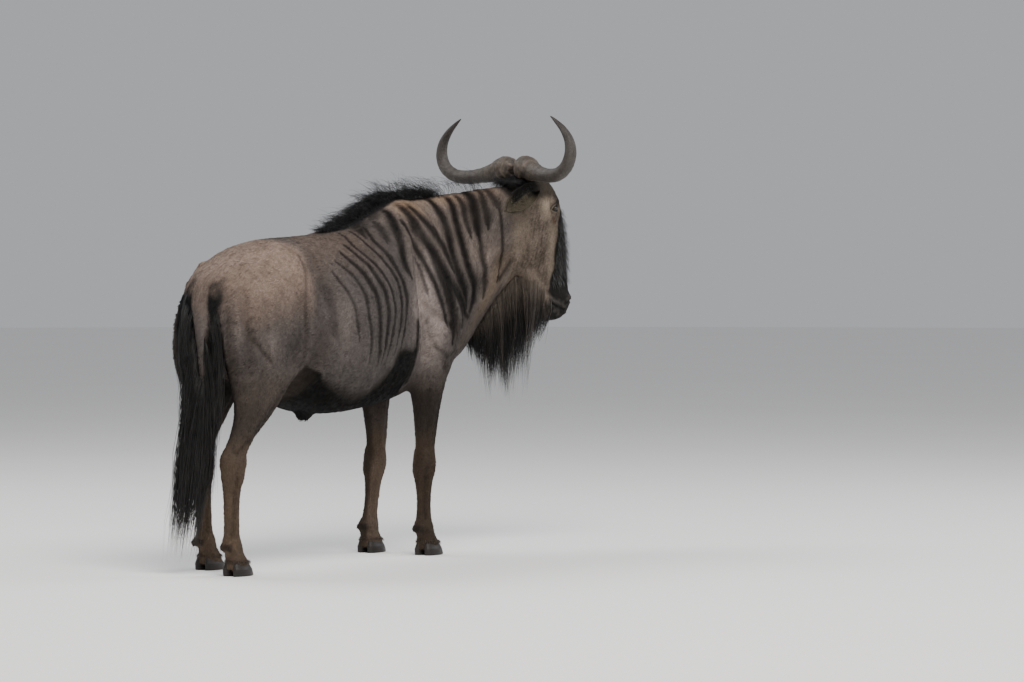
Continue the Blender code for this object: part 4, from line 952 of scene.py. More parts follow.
def shape_lids(mesh):
    """Draws the skin over each eyeball to two lids, with a fold above and below."""
    points, _ = coordinates(mesh)
    inside = EYE_RADIUS * 0.86
    for side in (-1, 1):
        centre, way, radius, outside, rise, near = about_eye(points, side)
        rim = EYE_RADIUS + LID_THICK * (0.55 + 0.45 * smooth(0.0, 0.16, outside))
        rim -= np.where(rise > 0, 0.0026, 0.0012) * bell((outside - 0.30) / 0.07)
        rim += np.where(rise > 0, 0.0012, 0.0) * bell((outside - 0.12) / 0.09)
        target = np.where(outside < 0, inside + (rim - inside) * smooth(-0.10, 0.0, outside), rim)
        hold = smooth(0.62, 0.22, outside)
        points = centre + way * np.where(near, radius * (1 - hold) + target * hold, radius)[:, None]
    put_back(mesh, points)


def build_skin():
    """One skin for head, neck, body, legs, dock and ears."""
    skin = fused_flesh(body_pieces() + head_pieces() + [dock_mesh()])

    def fine_parts(at):
        _, ahead, z = in_head(at).T
        return (eye_distance(at) < 0.048) | (z < -0.42) & (ahead > 0.02)

    refine(skin, lambda at: in_head(at)[:, 1] > -0.13, 3)
    refine(skin, fine_parts, 2)
    points, normals = coordinates(skin)
    facing = np.clip(np.abs(normals[:, 0]) * 1.6 - 0.3, 0, 1) * 1.25
    carve(skin, BODY_STROKES, in_side_view(points), facing)
    points, normals = coordinates(skin)
    local = in_head(points)
    local[:, 0] = np.abs(local[:, 0])
    carve(skin, HEAD_STROKES, local, np.ones(len(local)))
    points, normals = coordinates(skin)
    wrinkles = 0.0010 * wobble(points, 0.035, 41) + 0.0006 * wobble(points, 0.014, 42)
    sunk = STRIPE_SINK * stripe_share(points, normals)
    put_back(skin, points + normals * (wrinkles - sunk - SKIN_DEPTH)[:, None])
    shape_lids(skin)
    return joined("skin", [skin] + [fine_ear(side) for side in (-1, 1)]), len(skin.vertices)


def ear_colour(points):
    """Grey-brown, with a dark upper edge and root: black hair and painted shadow from the horn."""
    local = in_head(points)
    colour = np.tile(np.array(EAR_BROWN), (len(points), 1))
    for which in (-1, 1):
        here = (local[:, 0] >= 0) == (which > 0)
        along, faces = np.array(EAR_ALONG[which]), np.array(EAR_FACES[which])
        across = np.cross(faces, along)
        off = local[here] * (which, -1, 1) - np.array(EAR_ROOT)
        s, upper = off @ along / EAR_LENGTH, off @ across / EAR_WIDTH * (-1 if across[2] < 0 else 1)
        # Darker along the upper edge and at the root: black hair, with painted shadow from the horn above.
        dark = smooth(-0.12, 0.25, upper + 0.08 * wobble(points[here], 0.02, 38)) * smooth(0.95, 0.62, s)
        found = layered(colour[here], (FACE_BLACK, dark), (FACE_BLACK, smooth(0.22, 0.05, s)))
        colour[here] = found * (1 + 0.2 * wobble(points[here], 0.02, 36))[:, None]
    return np.clip(colour, 0.004, 1)


def unwrap(obj):
    """An even unwrap of the skin's own shape, which places each tuft's colour in the bake."""
    bpy.context.view_layer.objects.active = obj
    obj.select_set(True)
    obj.data.uv_layers.new(name="OFBake")
    bpy.ops.object.mode_set(mode="EDIT")
    bpy.ops.mesh.select_all(action="SELECT")
    bpy.ops.uv.smart_project(angle_limit=math.radians(70), island_margin=0.001)
    bpy.ops.object.mode_set(mode="OBJECT")
    obj.select_set(False)


def paint(mesh, colours):
    layer = mesh.color_attributes.new("Coat", "FLOAT_COLOR", "POINT")
    full = np.column_stack([colours, np.ones(len(colours))]).astype(np.float32)
    layer.data.foreach_set("color", full.ravel())


class Surface:
    """The skin's triangles, for scattering roots over them."""

    def __init__(self, mesh, ears_from):
        mesh.calc_loop_triangles()
        self.points, self.normals = coordinates(mesh)
        self.corners, loops = np.empty((2, len(mesh.loop_triangles), 3), np.int32)
        mesh.loop_triangles.foreach_get("vertices", self.corners.ravel())
        mesh.loop_triangles.foreach_get("loops", loops.ravel())
        uv = np.empty(len(mesh.loops) * 2, np.float32)
        mesh.uv_layers["OFBake"].uv.foreach_get("vector", uv)
        self.uv = uv.reshape(-1, 2)[loops]
        a, b, c = (self.points[self.corners[:, k]] for k in range(3))
        self.area = np.linalg.norm(np.cross(b - a, c - a), axis=1) / 2
        self.ear = self.corners[:, 0] >= ears_from
        self.middle = (a + b + c) / 3
        self.tree = BVHTree.FromPolygons([tuple(p) for p in self.points], [tuple(t) for t in self.corners])

    def scatter(self, density, seed):
        """Roots with so many to the square metre on each triangle: places, normals and UVs."""
        draw = np.random.default_rng(seed)
        number = draw.poisson(density * self.area)
        which = np.repeat(np.arange(len(number)), number)
        parts = draw.dirichlet((1, 1, 1), len(which))[:, :, None]
        corners = self.corners[which]
        places, normals = (kind[corners] for kind in (self.points, self.normals))
        return (places * parts).sum(1), unit((normals * parts).sum(1)), (self.uv[which] * parts).sum(1)


def combed(way, normals):
    """The way laid flat on the surface."""
    return unit(way - normals * (way * normals).sum(1)[:, None], 1e-6)


def lie_of_coat(places, normals):
    """The way the hair points at each place: back and down, down the legs, down the face."""
    leg = smooth(0.75, 0.55, places[:, 2])[:, None]
    head = head_share(places)[:, None]
    neck = smooth(0.95, 1.2, -places[:, 1])[:, None] * (1 - head)
    way = np.array((0.0, 1.0, -0.42)) * (1 - leg) + np.array((0.0, 0.18, -1.0)) * leg
    way = way * (1 - neck) + np.array((0.0, 0.55, -0.85)) * neck
    down = np.array(head_matrix().to_3x3() @ Vector((0.0, 0.35, -1.0)))
    flat = combed(way * (1 - head) + down * head, normals)
    turn = 0.22 * wobble(places, 0.05, 51) + 0.10 * wobble(places, 0.012, 52)
    return flat * np.cos(turn)[:, None] + np.cross(normals, flat) * np.sin(turn)[:, None]


def add_piece(name, points, faces, colours, uv, toward, material):
    """A mesh of many alike tufts from arrays, with its colours and bake places, riding on the model."""
    count, size, _ = points.shape
    faces = (np.array(faces)[None] + (np.arange(count) * size)[:, None, None]).reshape(-1, 3)
    flat = faces.ravel()
    mesh = bpy.data.meshes.new(name)
    mesh.vertices.add(count * size)
    mesh.vertices.foreach_set("co", (points.reshape(-1, 3) + SHIFT_ROW).astype(np.float32).ravel())
    mesh.loops.add(len(flat))
    mesh.loops.foreach_set("vertex_index", flat.astype(np.int32))
    mesh.polygons.add(len(faces))
    mesh.polygons.foreach_set("loop_start", (np.arange(len(faces)) * 3).astype(np.int32))
    mesh.polygons.foreach_set("use_smooth", np.ones(len(faces), bool))
    mesh.update(calc_edges=True)
    if toward is not None:
        toward = toward.reshape(-1, 3)
        mesh.normals_split_custom_set_from_vertices(toward / np.linalg.norm(toward, axis=1)[:, None])
    paint(mesh, colours.reshape(-1, 3))
    layer = mesh.uv_layers.new(name="OFBake")
    layer.uv.foreach_set("vector", uv.reshape(-1, 2)[flat].astype(np.float32).ravel())
    mesh.materials.append(material)
    return riding(name, mesh)


def riding(name, mesh):
    obj = add_object(name, mesh)
    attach(obj, "root")
    return obj


def plain_piece(name, mesh, colours, material, node, slot):
    """A finely modelled piece that stands for one solid."""
    mesh.transform(Matrix.Translation(SHIFT))
    paint(mesh, colours)
    mesh.shade_smooth()
    mesh.materials.append(material)
    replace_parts(riding(name, mesh), node)


def tufts(name, places, normals, uv, way, lengths, widths, colours, lift, material, seed):
    """Short flat tufts: three corners at the root, three at the bend and a tip, closed at the root."""
    draw = np.random.default_rng(seed)
    count = len(places)
    across = np.cross(normals, way)
    reach, wide = lengths[:, None], widths[:, None]
    rise = (lift * draw.uniform(0.4, 1.5, count))[:, None] * reach
    root = places - normals * 0.0010
    bend = places + way * reach * 0.50 + normals * (rise * 0.75 + 0.0004)
    tip = places + way * reach * draw.uniform(0.85, 1.1, (count, 1)) + normals * rise
    tip += across * draw.uniform(-0.15, 0.15, (count, 1)) * reach
    points = np.stack([
        root - across * wide * 0.5, root + across * wide * 0.5, root + normals * wide * 0.25,
        bend - across * wide * 0.38, bend + across * wide * 0.38, bend + normals * wide * 0.20,
        tip], axis=1)
    shade = draw.normal(1.0, 0.15, (count, 1, 1))
    tint = np.clip(colours[:, None] * shade * TUFT_SHADES, 0.003, 1)
    where = uv[:, None] + TUFT_SPOTS * UV_PATCH / 2
    lean = TUFT_LEANS + draw.normal(0, 0.14, (count, 1, 1))
    forward = 0.10 + draw.normal(0, 0.12, (count, 1, 1))
    toward = normals[:, None] + across[:, None] * lean + way[:, None] * forward
    add_piece(name, points, TUFT_FACES, tint, where, toward, material)


def strand_mesh(name, roots, middles, tips, widths, facing, colours, uv, steps, curl, material, base):
    """Long tapered strands, three-sided, each along its own bent path."""
    draw = np.random.default_rng(STRAND_SEED)
    count = len(roots)
    each = (count, 1, 1)
    t = np.linspace(0, 1, steps + 1)[None, :, None]
    path = roots[:, None] * (1 - t) ** 2 + middles[:, None] * 2 * t * (1 - t) + tips[:, None] * t * t
    along = unit(np.gradient(path, axis=1))
    across = unit(np.cross(along, facing[:, None]))
    proud = np.cross(across, along)
    phase = draw.uniform(0, 2 * math.pi, each)
    waves = draw.uniform(0.8, 2.2, each)
    length = np.linalg.norm(tips - roots, axis=1)[:, None, None]
    bent = across * np.sin(phase + waves * t * 5) + proud * np.cos(phase * 2 + waves * t * 4)
    path = path + bent * curl * length * t
    wide = widths[:, None, None] * (0.75 + 0.5 * t - 1.13 * t**3)
    corners = path - across * wide * 0.5, path + across * wide * 0.5, path + proud * wide * 0.45
    rings = np.stack(corners, axis=2)[:, :-1]
    points = np.concatenate([rings.reshape(count, -1, 3), path[:, -1:]], axis=1)
    faces = [(0, 2, 1)]
    for i in range(0, steps * 3 - 3, 3):
        for a, b in ((i, i + 1), (i + 1, i + 2), (i + 2, i)):
            faces += [(a, b, b + 3), (a, b + 3, a + 3)]
    last = (steps - 1) * 3
    faces += [(last + j, last + (j + 1) % 3, last + 3) for j in range(3)]
    depth = np.concatenate([np.repeat(np.linspace(0, 1, steps + 1)[:-1], 3), [1.0]])[None, :, None]
    tint = colours[:, None, :] * (0.8 + 0.5 * depth) * draw.normal(1.0, 0.15, each)
    if base is not None:
        rooted = smooth(0.54, 0.04, depth + draw.uniform(-0.10, 0.20, each)) * draw.uniform(0.45, 1.0, each)
        tint = tint + (np.asarray(base) - tint) * rooted
    aside = np.concatenate([np.tile((-1.0, 1.0, 0.0), steps), [0.0]])
    spot = np.stack([aside, 2 * depth[0, :, 0] - 1], axis=1)
    where = uv[:, None] + spot * UV_PATCH / 2
    add_piece(name, points, faces, np.clip(tint, 0.002, 1), where, None, material)


class Locks:
    """Strands gathered lock by lock, before they become one mesh."""

    def __init__(self, seed, stray=0.05):
        self.draw = np.random.default_rng(seed)
        self.stray = stray
        self.parts = []

    def add(self, root, middle, tip, count, root_spread, tip_spread, width, facing, colour, loose):
        draw = self.draw
        root, middle, tip, facing, colour = (np.array(v, float) for v in (root, middle, tip, facing, colour))
        each = (count, 3)
        start = draw.normal(size=each) * root_spread
        end = start * tip_spread + draw.normal(size=each) * 0.002
        wild = (draw.random(count) < loose)[:, None]
        reach = np.linalg.norm(tip - root)
        end = end + wild * np.clip(draw.normal(size=each), -1.6, 1.6) * reach * self.stray
        tips = root + (tip - root) * draw.uniform(0.72, 1.04, (count, 1)) + end
        middles = middle + start * 0.9 + (draw.normal(size=each) * reach * 0.02)
        widths = width * draw.uniform(0.7, 1.2, count)
        facings = facing + draw.normal(size=each) * 0.4
        self.parts.append((root + start, middles, tips, widths, facings, np.tile(colour, (count, 1))))

    def mesh(self, name, surface, steps, curl, material, base=None):
        """One mesh of all the strands, each with its root just under the skin."""
        roots, *others = (np.concatenate(p) for p in zip(*self.parts))
        hits = [surface.tree.find_nearest(tuple(root)) for root in roots]
        roots = np.array([hit[0] - hit[1] * ROOT_DEPTH for hit in hits])
        uv = surface.uv[[hit[2] for hit in hits]].mean(1)
        strand_mesh(name, roots, *others, uv, steps, curl, material, base)


def fine_horn(side):
    """The horn, finely cut: rough domed boss, ridges that fade along it, smooth dark tip."""
    path = spline_rows(HORN, HORN_STEPS)
    lengths = lengths_along(path[:, :3])
    angles = np.array(circle(HORN_SIDES))
    round_it = [np.cos(angles) * 0.02, np.sin(angles) * 0.02]
    rings, colours = [], []
    for i, (s, (*centre, radius)) in enumerate(zip(lengths / lengths[-1], path)):
        ahead = Vector(path[min(i + 1, len(path) - 1)][:3] - path[max(i - 1, 0)][:3]).normalized()
        across = ahead.cross(Vector((0, 1, 0))).normalized()
        up = across.cross(ahead)
        places = np.column_stack([*round_it, np.full(len(angles), s * 0.5)])
        rough = wobble(places, 0.012, 61) * 0.6 + wobble(places, 0.0045, 62) * 0.6
        grain = wobble(places * (1, 1, 0.12), 0.004, 64)
        boss = float(smooth(0.34, 0.10, s))
        ridged = float(smooth(0.12, 0.25, s) * smooth(0.78, 0.45, s))
        ridges = math.sin(s * 150 + 2.0 * math.sin(s * 31)) * ridged
        height = -0.0016 + 0.0026 * rough * boss + 0.0007 * ridges + 0.0004 * grain * (1 - boss)
        rings.append([mirrored(Vector(centre) + (across * math.cos(a) + up * math.sin(a)) * float(r), side)
                      for a, r in zip(angles, radius + height * min(1, radius / 0.01))])
        shade = layered(
            np.tile(HORN_MID, (len(angles), 1)),
            (HORN_BOSS, np.full(len(angles), boss)),
            (HORN_TIP, np.full(len(angles), smooth(0.55, 0.92, s))),
            (HORN_PALE, smooth(0.0, 0.9, rough) * boss * 0.85),
            (HORN_DARK, smooth(0.0, -0.8, rough) * boss * 0.7),
            (HORN_DARK, smooth(0.2, 0.9, grain) * (1 - boss) * 0.35))
        colours.append(shade * (0.94 + 0.10 * ridges))
    mesh = rings_mesh("horn", rings, tip=True)
    mesh.transform(head_matrix())
    return mesh, np.concatenate(colours[:-1] + [colours[-1][:1]])


def fine_ear(side):
    """The ear as a thin closed leaf, cupped, with its rim and inner folds."""
    along = EAR_ALONG[side]
    across = EAR_FACES[side].cross(along).normalized()
    faces = along.cross(across).normalized()
    rings = []
    for i in range(EAR_STEPS + 1):
        s = i / EAR_STEPS
        width = EAR_WIDTH * (0.60 + 0.62 * math.sin(math.pi * min(1, 0.80 * s + 0.02))) * (1 - s**6) + 0.004
        roll = math.radians(110 - 62 * s)
        radius = width / math.sin(min(roll, math.pi / 2))
        middle = EAR_ROOT + along * EAR_LENGTH * s - faces * EAR_BEND * s * s
        outer, inner = [], []
        for j in range(EAR_ARC + 1):
            turn = 2 * j / EAR_ARC - 1
            thick = 0.0035 * (1 - 0.6 * turn * turn) * (1 - 0.5 * s) + 0.0008
            fold = 0.0010 * math.cos(turn * 14) * (1 - turn * turn) * math.sin(math.pi * s)
            out = across * math.sin(roll * turn) - faces * math.cos(roll * turn)
            for ring, reach in ((outer, radius - 0.0012), (inner, radius - 0.0012 - thick + fold)):
                ring.append(mirrored(middle + faces * radius + out * reach, side))
        rings.append(outer + inner[::-1])
    mesh = rings_mesh("ear", rings)
    mesh.transform(head_matrix())
    return mesh


def fine_claw(kind, side, half):
    """Half a cloven hoof with its growth rings, a rounded toe and a worn lower edge."""
    _, front, back, _, centre = LEGS[kind][-1]
    shift = float(stance_shift(kind, side, CORONET_Z))
    down, high = CLAW[:, 0], CLAW[0, 0]
    rings, colours = [], []
    for i in range(CLAW_STEPS + 1):
        z = high + (down[-1] - high) * i / CLAW_STEPS
        ahead, behind, half_width = (np.interp(-z, -down, CLAW[:, k]) for k in (1, 2, 3))
        growth = 0.0004 * math.sin(z * 1500 + 1.5 * math.sin(z * 400))
        toe, heel = front - 0.010 + ahead + shift, back + 0.006 - behind + shift
        middle, length = (toe + heel) / 2, (toe - heel) / 2 + growth
        ring = []
        for angle in circle(CLAW_SIDES):
            across, along = math.cos(angle), math.sin(angle)
            x = CLEFT / 2 + half_width * (1 + across * (1 - 0.45 * max(along, 0) ** 2))
            ring.append((side * centre + half * x, -(middle + along * length), z))
        rings.append(ring)
        shade = 0.85 + 0.35 * math.sin(z * 900 + 2 * math.sin(z * 300)) * 0.4 + 0.25 * (1 - i / CLAW_STEPS)
        colours += [tuple(c * shade for c in HOOF_GREY)] * CLAW_SIDES
    return rings_mesh("claw", rings), np.array(colours)


def fine_eye(side):
    """The eyeball: dark brown iris with a level pupil, seen between the lids."""
    mesh = eye_ball(side, EYE_RADIUS, 96, 64)
    out = np.array(mirrored(EYE_FACING, side))
    up = unit(np.array((0.0, 0.0, 1.0)) - out * out[2])
    way = (coordinates(mesh)[0] - np.array(mirrored(EYE_AT, side))) / EYE_RADIUS
    ahead, rise, along = way @ out, way @ up, way @ np.cross(out, up)
    off = np.sqrt(np.clip(1 - ahead**2, 0, 1)) + (ahead < 0)
    rays = wobble(np.column_stack([np.arctan2(rise, along), off * 0.2, off * 0]), 0.05, 63)
    colours = layered(
        np.tile(EYE_BROWN, (len(way), 1)),
        (IRIS_BROWN, smooth(0.66, 0.60, off) * (0.6 + 0.3 * rays)),
        (PUPIL_BLACK, smooth(1.15, 0.90, (along / 0.40) ** 2 + (rise / 0.20) ** 2) * (ahead > 0)))
    mesh.transform(head_matrix())
    return mesh, np.clip(colours, 0.002, 1)


def set_inputs(node, values):
    for name, value in values.items():
        node.inputs[name].default_value = value


def new_node(tree, kind, **values):
    made = tree.nodes.new("ShaderNode" + kind)
    set_inputs(made, {name.replace("_", " "): value for name, value in values.items()})
    return made


def noise_of(tree, scale, detail, stretch=(1, 1, 1)):
    mapping = new_node(tree, "Mapping", Scale=stretch)
    noise = new_node(tree, "TexNoise", Scale=scale, Detail=detail)
    tree.links.new(tree.nodes.new("ShaderNodeTexCoord").outputs["Object"], mapping.inputs["Vector"])
    tree.links.new(mapping.outputs["Vector"], noise.inputs["Vector"])
    return noise.outputs["Fac"]


def in_range(tree, value, low, high):
    ranged = new_node(tree, "MapRange", From_Min=0.3, From_Max=0.7, To_Min=low, To_Max=high)
    tree.links.new(value, ranged.inputs["Value"])
    return ranged.outputs["Result"]


def coat_material(name, rough, specular, noises, bump=None, coat=0.0):
    """The piece's own colours, varied by noise, with roughness and relief from more of it."""
    made = bpy.data.materials.new(name)
    made.use_nodes = True
    tree = made.node_tree
    shader = tree.nodes["Principled BSDF"]
    set_inputs(shader, {"Specular IOR Level": specular, "Sheen Weight": 0.0, "Sheen Roughness": 0.5,
                        "Coat Weight": coat, "Coat Roughness": 0.04, "Roughness": rough})
    colour = new_node(tree, "VertexColor")
    colour.layer_name = "Coat"
    value = colour.outputs["Color"]
    for scale, stretch, low, high in noises:
        scaled = new_node(tree, "VectorMath")
        scaled.operation = "SCALE"
        tree.links.new(value, scaled.inputs[0])
        tree.links.new(in_range(tree, noise_of(tree, scale, 4, stretch), low, high), scaled.inputs["Scale"])
        value = scaled.outputs["Vector"]
    tree.links.new(value, shader.inputs["Base Color"])
    worn = in_range(tree, noise_of(tree, 60, 3), rough - 0.08, rough + 0.08)
    tree.links.new(worn, shader.inputs["Roughness"])
    if bump:
        scale, stretch, height = bump
        raised = new_node(tree, "Bump", Strength=0.8, Distance=height)
        tree.links.new(noise_of(tree, scale, 6, stretch), raised.inputs["Height"])
        tree.links.new(raised.outputs["Normal"], shader.inputs["Normal"])
    return made


def eye_distance(points):
    local = in_head(points)
    local[:, 0] = np.abs(local[:, 0])
    return np.linalg.norm(local - (EYE_AT.x, -EYE_AT.y, EYE_AT.z), axis=1)


def on_leg(points):
    z, u = points[:, 2], -points[:, 1]
    legs = np.clip(smooth(0.34, 0.24, u) + smooth(0.84, 0.92, u), 0, 1)
    return smooth(0.74, 0.62, z) * legs * (1 - head_share(points))


def on_body(points):
    return (1 - on_leg(points)) * (1 - head_share(points)) * (points[:, 2] > 0.3)


def on_face(points):
    _, ahead, z = in_head(points).T
    return head_share(points) * (1 - 0.9 * smooth(-0.40, -0.44, z) * smooth(0.11, 0.14, ahead))


# The short coat: roots to the square metre, length, width, lift, where it grows and the draw's seed.
COAT = (
    ("coat_body", 17500, 0.016, 0.0037, 0.08, on_body, 101),
    ("coat_legs", 27000, 0.010, 0.0029, 0.09, on_leg, 111),
    ("coat_face", 70000, 0.008, 0.0020, 0.12, on_face, 121),
    ("coat_ears", 75000, 0.009, 0.0019, 0.15, None, 131),
)


def short_coat(surface, material):
    """Tufts all over: larger on neck and body, smaller on the legs, smallest on the face and ears."""
    for name, density, length, width, lift, where, seed in COAT:
        share = where(surface.middle) * ~surface.ear if where else surface.ear * 1.0
        places, normals, uv = surface.scatter(density * share, seed)
        draw = np.random.default_rng(seed + 1)
        count = len(places)
        way = (lie_of_coat if where else lie_of_ears)(places, normals)
        size = draw.uniform(0.65, 1.25, count)
        lengths, widths = length * size, width * draw.uniform(0.7, 1.3, count)
        near_eye = eye_distance(places)
        lengths *= 0.25 + 0.75 * smooth(0.022, 0.050, near_eye)
        middles = places + way * lengths[:, None] * 0.5
        colours = coat_colour(middles, normals) if where else ear_colour(middles)
        order = np.flatnonzero(near_eye > BARE_ROUND_EYE)
        parts = math.ceil(len(order) / TUFTS_IN_PIECE)
        for part in range(parts):
            each = [rows[order[part::parts]] for rows in (places, normals, uv, way, lengths, widths, colours)]
            tufts(f"{name}_{part + 1}", *each, lift, material, seed + 2)


def lie_of_ears(places, normals):
    """Towards each ear's tip."""
    turn = np.array(head_matrix().to_3x3())
    right, left = (turn @ (np.array(EAR_ALONG[side]) * (side, 1, 1)) for side in (-1, 1))
    return combed(np.where((in_head(places)[:, 0] < 0)[:, None], right, left), normals)


def mane(surface, material):
    """A dense low crest with thin tousled hairs above it, and dark fringes that hang below."""
    crest = crest_path()
    far = lengths_along(crest)
    locks = Locks(7, 0.30)
    uniform = locks.draw.uniform

    def over_crest(distance):
        u, z, x = (np.interp(distance, far, crest[:, k]) for k in range(3))
        return np.array((x, -u, z + 0.010))

    for i in range(MANE_TUFTS):
        s = (i + uniform(-0.5, 0.5)) / MANE_TUFTS
        start = far[-1] * np.clip(0.985 * s, 0, 1)
        thin = i % 3 == 0
        if s < 0.34 and (not thin or uniform(0, 1) < 0.35):
            continue
        high = (0.080 if thin else 0.040) * min(1, 0.45 + 1.5 * s, 0.25 + 2.6 * (1 - s)) * uniform(0.6, 1.25)
        reach = uniform(0.03, 0.09)
        root = over_crest(start) + (uniform(-0.018, 0.018), 0, -0.006)
        lean = locks.draw.normal(0.014, 0.026)
        tip = over_crest(min(start + reach, far[-1])) + (lean, 0, high * uniform(0.55, 1.05))
        middle = over_crest(start + reach * uniform(0.1, 0.4)) + (lean * 0.3, 0, high * uniform(0.8, 1.1))
        count, tip_spread, width = (8, 1.3, 0.0009) if thin else (15, 0.9, 0.0015)
        locks.add(root, middle, tip, count, (0.010, 0.014, 0.003), tip_spread, width, (1, 0.2, 0.3),
                  HAIR_BLACK, 0.30)
    for i in range(FRINGE_TUFTS):
        s = i / FRINGE_TUFTS
        u = 0.56 + 0.55 * s + uniform(-0.01, 0.01)
        z = np.interp(-u, -crest[:, 0], crest[:, 1])
        drop = uniform(0.03, 0.115) * math.sin(math.pi * min(1, 0.15 + s))
        for side in (-1, 1):
            root = np.array((side * 0.020, -u, z + 0.010))
            tip = root + (side * (0.012 + drop * 0.40), 0.02 + uniform(-0.02, 0.03), -drop)
            middle = root + (side * (0.020 + drop * 0.3), 0.01, -drop * 0.20)
            locks.add(root, middle, tip, 12, (0.006, 0.009, 0.003), 0.5, 0.0014, (side, 0, 0.5),
                      HAIR_BLACK, 0.10)
    locks.mesh("mane", surface, 5, 0.045, material)


def beard(surface, material):
    """Long locks from throat to chin, brown along the jaw and black below, gathered to a point."""
    line = spline_rows(BEARD, 8)
    far = lengths_along(line[:, (0, 1, 4)])
    locks = Locks(8, 0.05)
    uniform = locks.draw.uniform
    for rank in (-1.0, -0.5, 0.0, 0.5, 1.0):
        side = rank * BEARD_SPREAD
        for i in range(BEARD_TUFTS):
            spot = (i + uniform(0, 1)) / BEARD_TUFTS * far[-1]
            u, z, tip_u, tip_z, x = (np.interp(spot, far, line[:, k]) for k in range(5))
            start = Vector((x + side * 1.1, -u, z + 0.004 + 0.024 * abs(rank) * uniform(0.2, 1.2)))
            root = np.array(surface.tree.find_nearest(start)[0])
            fall = uniform(0.80, 1.22)
            tip = np.array((x + side * uniform(0.2, 1.2), -tip_u, z + (tip_z - z) * fall))
            tip[1] += uniform(-0.020, 0.035)
            middle = root * 0.55 + tip * 0.45 + (rank * 0.024, uniform(-0.020, 0.012), 0)
            colour = BEARD_BROWN if uniform(0, 1) < 0.08 + 0.20 * abs(rank) else HAIR_BLACK
            locks.add(root, middle, tip, 22, (0.009, 0.016, 0.007), 0.30, 0.0015, (1, 0, 0), colour, 0.10)
    locks.mesh("beard", surface, 5, 0.022, material, BEARD_ROOT)


def tail_hair(surface, material):
    """Black hair from the sides of the dock down into a long tuft with wispy ends."""
    dock = spline_rows(DOCK, 8)
    end_u, end_z, end_x, _ = DOCK[-1]
    locks = Locks(9, 0.035)
    uniform = locks.draw.uniform
    for i in range(TAIL_TUFTS):
        s = i / TAIL_TUFTS
        root_z = 1.02 - 0.40 * s**0.75
        u, x, radius = (np.interp(-root_z, -dock[:, 1], dock[:, k]) for k in (0, 2, 3))
        angle = uniform(0, 2 * math.pi)
        if root_z > 0.72:
            angle = math.radians(TAIL_SIDE) + math.pi * (i % 2) + locks.draw.normal(0, 0.22)
        way = np.array((math.cos(angle), math.sin(angle) * 0.75, 0))
        tip_z = root_z - 0.26 - 0.30 * s + uniform(-0.14, 0.10) if s < 0.55 else uniform(0.036, 0.26)
        out = 0.028 + 0.040 * math.sin(math.pi * min(1, 0.35 + 0.55 * max(0, 0.8 - tip_z)))
        beside_dock = 0.012 + (0.040 if way[0] > 0 else 0.012) * float(smooth(0.72, 0.95, root_z))
        root = np.array((x, -u, root_z)) + way * (radius + beside_dock)
        root[1] = min(root[1], -u + 0.012)
        tip = np.array((end_x, -end_u, tip_z)) + way * out * uniform(0.35, 1.0)
        tip += np.array(TAIL_SWING) * max(0, 1 - tip_z / end_z) ** 2
        middle = root * 0.55 + tip * 0.45 + way * (0.024 + 0.5 * beside_dock)
        locks.add(root, middle, tip, 20, (0.006, 0.006, 0.008), 0.55, 0.0020, way, TAIL_BLACK, 0.10)
    locks.mesh("tail_hair", surface, 5, 0.012, material)


def head_lock(locks, ends, count, spread, width, facing, colour):
    """A lock from its root over its bend to its tip, given in the head's frame."""
    place = head_matrix()
    ends = [place @ Vector(p) for p in ends]
    locks.add(*ends, count, spread, 0.4, width, place.to_3x3() @ Vector(facing), colour, 0.08)


def forelock(locks):
    """The black hair between and below the horn bosses."""
    uniform = locks.draw.uniform
    for _ in range(FORELOCK_TUFTS):
        x, z = uniform(-0.034, 0.034), uniform(-0.030, 0.070)
        front = np.interp(-z, *FORELOCK_LINE) - 0.006
        tip = (x * 1.15 + locks.draw.normal(0, 0.006), -front - 0.012, z - uniform(0.03, 0.06))
        ends = (x, -front, z - 0.012), (x, -front - 0.014, z - 0.012), tip
        head_lock(locks, ends, 14, (0.006, 0.004, 0.006), 0.0011, (0, -1, 0.2), HAIR_BLACK)


def ear_fringe(locks, side):
    """The hair inside an ear, then along its edges."""
    uniform = locks.draw.uniform
    along, faces = EAR_ALONG[side], EAR_FACES[side]
    across = faces.cross(along).normalized()
    facing = mirrored(faces, side)
    high = -1 if across.z < 0 else 1
    for _ in range(EAR_TUFTS):
        s = uniform(0.03, 0.80)
        b = uniform(-0.7, 0.7)
        root = EAR_ROOT + along * EAR_LENGTH * s + across * b * EAR_WIDTH + faces * 0.004
        tip = root + along * uniform(0.020, 0.038) + faces * uniform(0.004, 0.012)
        ends = [mirrored(p, side) for p in (root, root + along * 0.012 + faces * 0.010, tip)]
        tone = FACE_BLACK if (b * high > 0.0 and s < 0.65) or s < 0.2 else EAR_BROWN
        head_lock(locks, ends, 5, (0.003, 0.003, 0.003), 0.0009, facing, tone)
    for i in range(EAR_TUFTS * 2):
        s = 0.10 + 0.92 * i / (EAR_TUFTS * 2)
        b = 1 if i % 2 else -1
        width = 1.0 + 0.15 * math.sin(math.pi * s)
        root = EAR_ROOT + along * EAR_LENGTH * s + across * b * EAR_WIDTH * width * (1 - s**4)
        root = root - faces * EAR_BEND * s * s
        tip = root + along * uniform(0.014, 0.026) + across * b * uniform(0.004, 0.011)
        ends = [mirrored(p, side) for p in (root, root + along * 0.010 + across * b * 0.006, tip)]
        tone = FACE_BLACK if b * high > 0 and s < 0.60 else EAR_BROWN
        head_lock(locks, ends, 6, (0.002, 0.002, 0.002), 0.0010, facing, tone)


